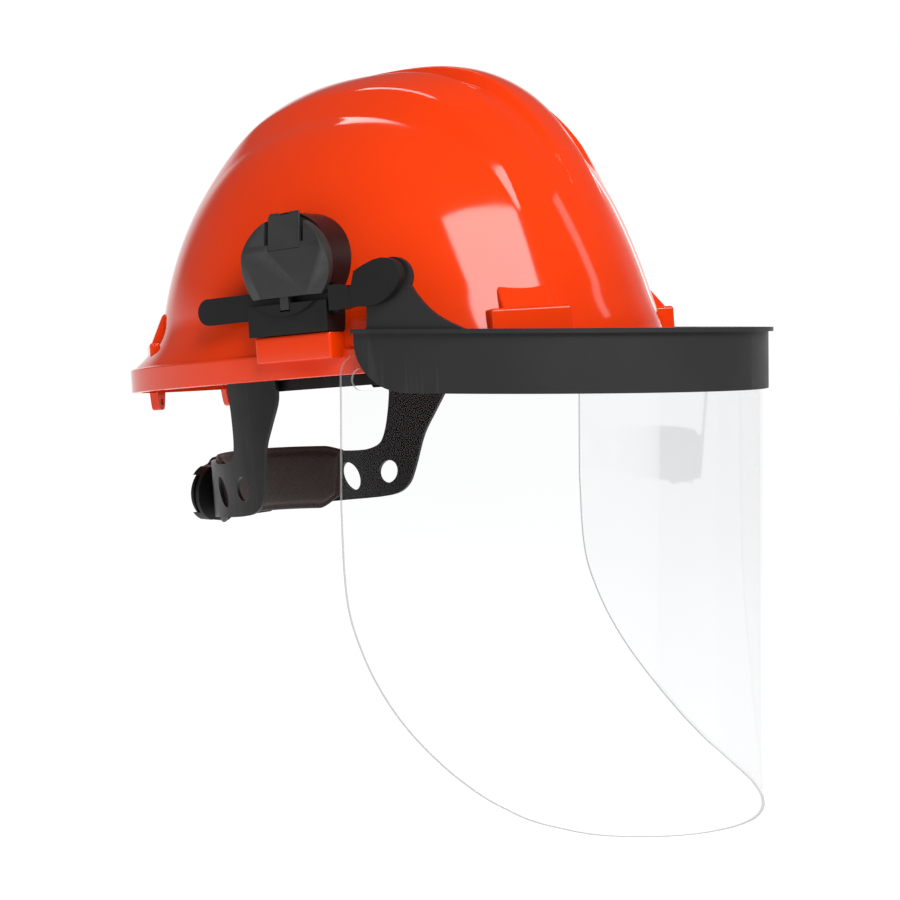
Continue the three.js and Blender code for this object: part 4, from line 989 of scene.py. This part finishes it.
# ----------------------------------------------------------------- ratchet
hs = prism(arc(20, KNOB_Z, 15.5, -70, 70, 30) + arc(-20, KNOB_Z, 15.5, 110, 250, 30), "y", 154.4, 162)
cut(hs, box(-60, 60, 156.6, 164, KNOB_Z - 10.2, KNOB_Z + 10.2), prism(arc(19.5, KNOB_Z, 13.9, -70, 70, 30) + arc(-19.5, KNOB_Z, 13.9, 110, 250, 30), "y", 160.2, 164))
finish(hs, "ratchet_housing_skin", "helmet", M_RATCHET, level, bevel=0.7, stands_for=["ratchet_housing"])
cv = prism(arc(19.5, KNOB_Z, 13.6, -70, 70, 30) + arc(-19.5, KNOB_Z, 13.6, 110, 250, 30), "y", 160.5, 162.6)
cut(cv, rod("y", 4.6, 150, 170, 0, KNOB_Z, 40))
finish(cv, "ratchet_cover_skin", "helmet", M_RATCHET, level, bevel=0.6, stands_for=["ratchet_cover"])
a = 2 * np.pi * np.arange(180) / 180
r = KNOB_R - 1.3 * (0.5 + 0.5 * np.cos(9 * a)) ** 2
kn = prism([*zip(r * np.cos(a), KNOB_Z + r * np.sin(a))], "y", 164.2, 172.5)
add(kn, rod("y", 15.5, 163.2, 174, 0, KNOB_Z, 90, 13.5))
cut(kn, rod("y", 4.3, 160, 169, 0, KNOB_Z, 40), rod("y", 10.5, 173.2, 176, 0, KNOB_Z, 72, 11.2))
finish(kn, "ratchet_knob_skin", "knob", M_RATCHET, level, bevel=0.8, angle=30, stands_for=["ratchet_knob"])

# CAD nodes that stay: pinion and racks, with rounded edges
for nm, mat in (("ratchet_pinion", M_RATCHET), ("ratchet_rack_left", M_RATCHET), ("ratchet_rack_right", M_RATCHET)):
    o = frame["nodes"][nm]
    o.data.materials.clear()
    o.data.materials.append(mat)
    m = o.modifiers.new("round", "BEVEL")
    m.width, m.segments, m.limit_method, m.angle_limit = 0.00012, 2, "ANGLE", math.radians(35)

# ------------------------------------------------------------------- stage
def floor_material():
    N = Nodes("floor")
    co = N.n("TexCoord").outputs["Object"]
    nz = N.n("TexNoise", {"Vector": co, "Scale": 3.0, "Detail": 3.0})
    col = mix_rgb(N, nz.outputs[0], (0.26, 0.26, 0.26, 1), (0.28, 0.28, 0.28, 1))
    b = N.n("BsdfPrincipled", {"Base Color": col, "Roughness": 0.9})
    b.inputs["Specular IOR Level"].default_value = 0.0
    b.inputs["Emission Color"].default_value = (1, 1, 1, 1)
    b.inputs["Emission Strength"].default_value = 0.97
    N.link(b.outputs[0], N.out.inputs[0])
    return N.mat


FLOOR_Z = -0.36
n = 96
t = np.arange(n) * 2 * np.pi / n
fl = obj("floor", np.r_[np.c_[14 * np.cos(t), 14 * np.sin(t), np.full(n, FLOOR_Z)], [[0, 0, FLOOR_Z]]], [[i, (i + 1) % n, n] for i in range(n)])
fl.data.materials.append(floor_material())

def studio_world():
    """A studio round the helmet: white backdrops near the horizon, grey walls between them, a dim ceiling."""
    w = bpy.data.worlds.new("studio")
    scene.world = w
    w.use_nodes = True
    T = w.node_tree
    T.nodes.clear()
    new = lambda k: T.nodes.new("ShaderNode" + k)
    out, bg, co, sep = new("OutputWorld"), new("Background"), new("TexCoord"), new("SeparateXYZ")
    T.links.new(co.outputs["Generated"], sep.inputs[0])
    at = new("Math")
    at.operation = "ARCTAN2"
    T.links.new(sep.outputs[1], at.inputs[0])
    T.links.new(sep.outputs[0], at.inputs[1])
    turn = new("MapRange")
    turn.inputs["From Min"].default_value, turn.inputs["From Max"].default_value = -math.pi, math.pi
    T.links.new(at.outputs[0], turn.inputs["Value"])

    def walls(stops):
        k = new("ValToRGB")
        k.color_ramp.interpolation = "EASE"
        pts = sorted(((((a_ + 180) % 360) / 360), v_) for a_, v_ in stops)
        e = k.color_ramp.elements
        e[0].position, e[1].position = pts[0][0], pts[-1][0]
        e[0].color, e[1].color = (pts[0][1],) * 3 + (1,), (pts[-1][1],) * 3 + (1,)
        for p_, v_ in pts[1:-1]:
            q = e.new(p_)
            q.color = (v_,) * 3 + (1,)
        T.links.new(turn.outputs[0], k.inputs[0])
        return k.outputs[0]

    def ramp(a0, a1):
        k = new("MapRange")
        k.interpolation_type = "SMOOTHSTEP"
        k.inputs["From Min"].default_value, k.inputs["From Max"].default_value = math.sin(math.radians(a0)), math.sin(math.radians(a1))
        T.links.new(sep.outputs[2], k.inputs["Value"])
        return k.outputs[0]

    def blend(fac, x, y):
        k = new("Mix")
        k.data_type = "RGBA"
        T.links.new(fac, k.inputs[0])
        for sock, v_ in ((k.inputs[6], x), (k.inputs[7], y)):
            if hasattr(v_, "is_output"):
                T.links.new(v_, sock)
            else:
                sock.default_value = v_
        return k.outputs[2]

    low = walls([(181, 1), (164, 1), (150, .3), (120, .3), (106, 1), (74, 1), (68, 1), (8, 1), (-8, .6), (-30, .3), (-62, .12), (-155, .12), (-163, 1), (-179, 1)])
    high = walls([(181, .3), (164, .3), (120, .12), (106, .2), (78, .2), (62, 1), (8, 1), (-8, .4), (-30, .12), (-155, .1), (-179, .3)])
    c = blend(ramp(0.5, 11), low, high)
    c = blend(ramp(16, 27), c, (WORLD_TOP,) * 3 + (1,))
    T.links.new(c, bg.inputs[0])
    bg.inputs[1].default_value = WORLD
    T.links.new(bg.outputs[0], out.inputs[0])


WORLD, WORLD_TOP = 1.02, 0.16
studio_world()


def area(name, direction, dist, size, size_y, radiance, aim=(0, -0.02, 0.03), turn=0.0):
    """A soft box seen from the helmet in the given direction; its brightness is the radiance it shows."""
    d = Vector(direction).normalized()
    L = bpy.data.lights.new(name, "AREA")
    L.shape = "RECTANGLE"
    L.size, L.size_y = size * dist, size_y * dist
    L.energy = radiance * math.pi * L.size * L.size_y
    o = bpy.data.objects.new(name, L)
    scene.collection.objects.link(o)
    o.location = Vector(aim) + d * dist
    z = d
    x = Vector((-d.y, d.x, 0)).normalized()
    y = z.cross(x)
    c, s_ = math.cos(math.radians(turn)), math.sin(math.radians(turn))
    x, y = x * c + y * s_, y * c - x * s_
    o.matrix_world = Matrix(((x.x, y.x, z.x, o.location.x), (x.y, y.y, z.y, o.location.y), (x.z, y.z, z.z, o.location.z), (0, 0, 0, 1)))
    return o


area("key", (-0.42, -0.66, 0.57), 1.7, 0.66, 0.46, 10.5, turn=8)
area("side", (0.985, 0.111, 0.20), 1.9, 0.07, 0.50, 2.0)
area("top", (0.12, 0.36, 0.93), 1.8, 0.12, 0.5, 6.0)
area("crease", (0.48, -0.70, 0.54), 1.9, 0.10, 0.36, 2.5)

# ------------------------------------------------------------------ camera
cam = bpy.data.cameras.new("camera")
cam.sensor_width = 36
cam.sensor_fit = "HORIZONTAL"
cam.lens = 1739.76 / 900 * 36
cam.shift_x = 0.0
cam.shift_y = -(450 - 322.9) / 900
cam.clip_end = 60
co_ = bpy.data.objects.new("camera", cam)
scene.collection.objects.link(co_)
az, roll = math.radians(-56.01), math.radians(-0.275)
back = Vector((math.sin(az), -math.cos(az), 0))
right = Vector((math.cos(az), math.sin(az), 0))
up = Vector((0, 0, 1))
r2 = right * math.cos(roll) + up * math.sin(roll)
u2 = -right * math.sin(roll) + up * math.cos(roll)
m = Matrix((r2, u2, back)).transposed().to_4x4()
m.translation = Vector((-0.7414, -0.5345, 0.01557))
co_.matrix_world = m
scene.camera = co_
scene.view_settings.view_transform = "Standard"
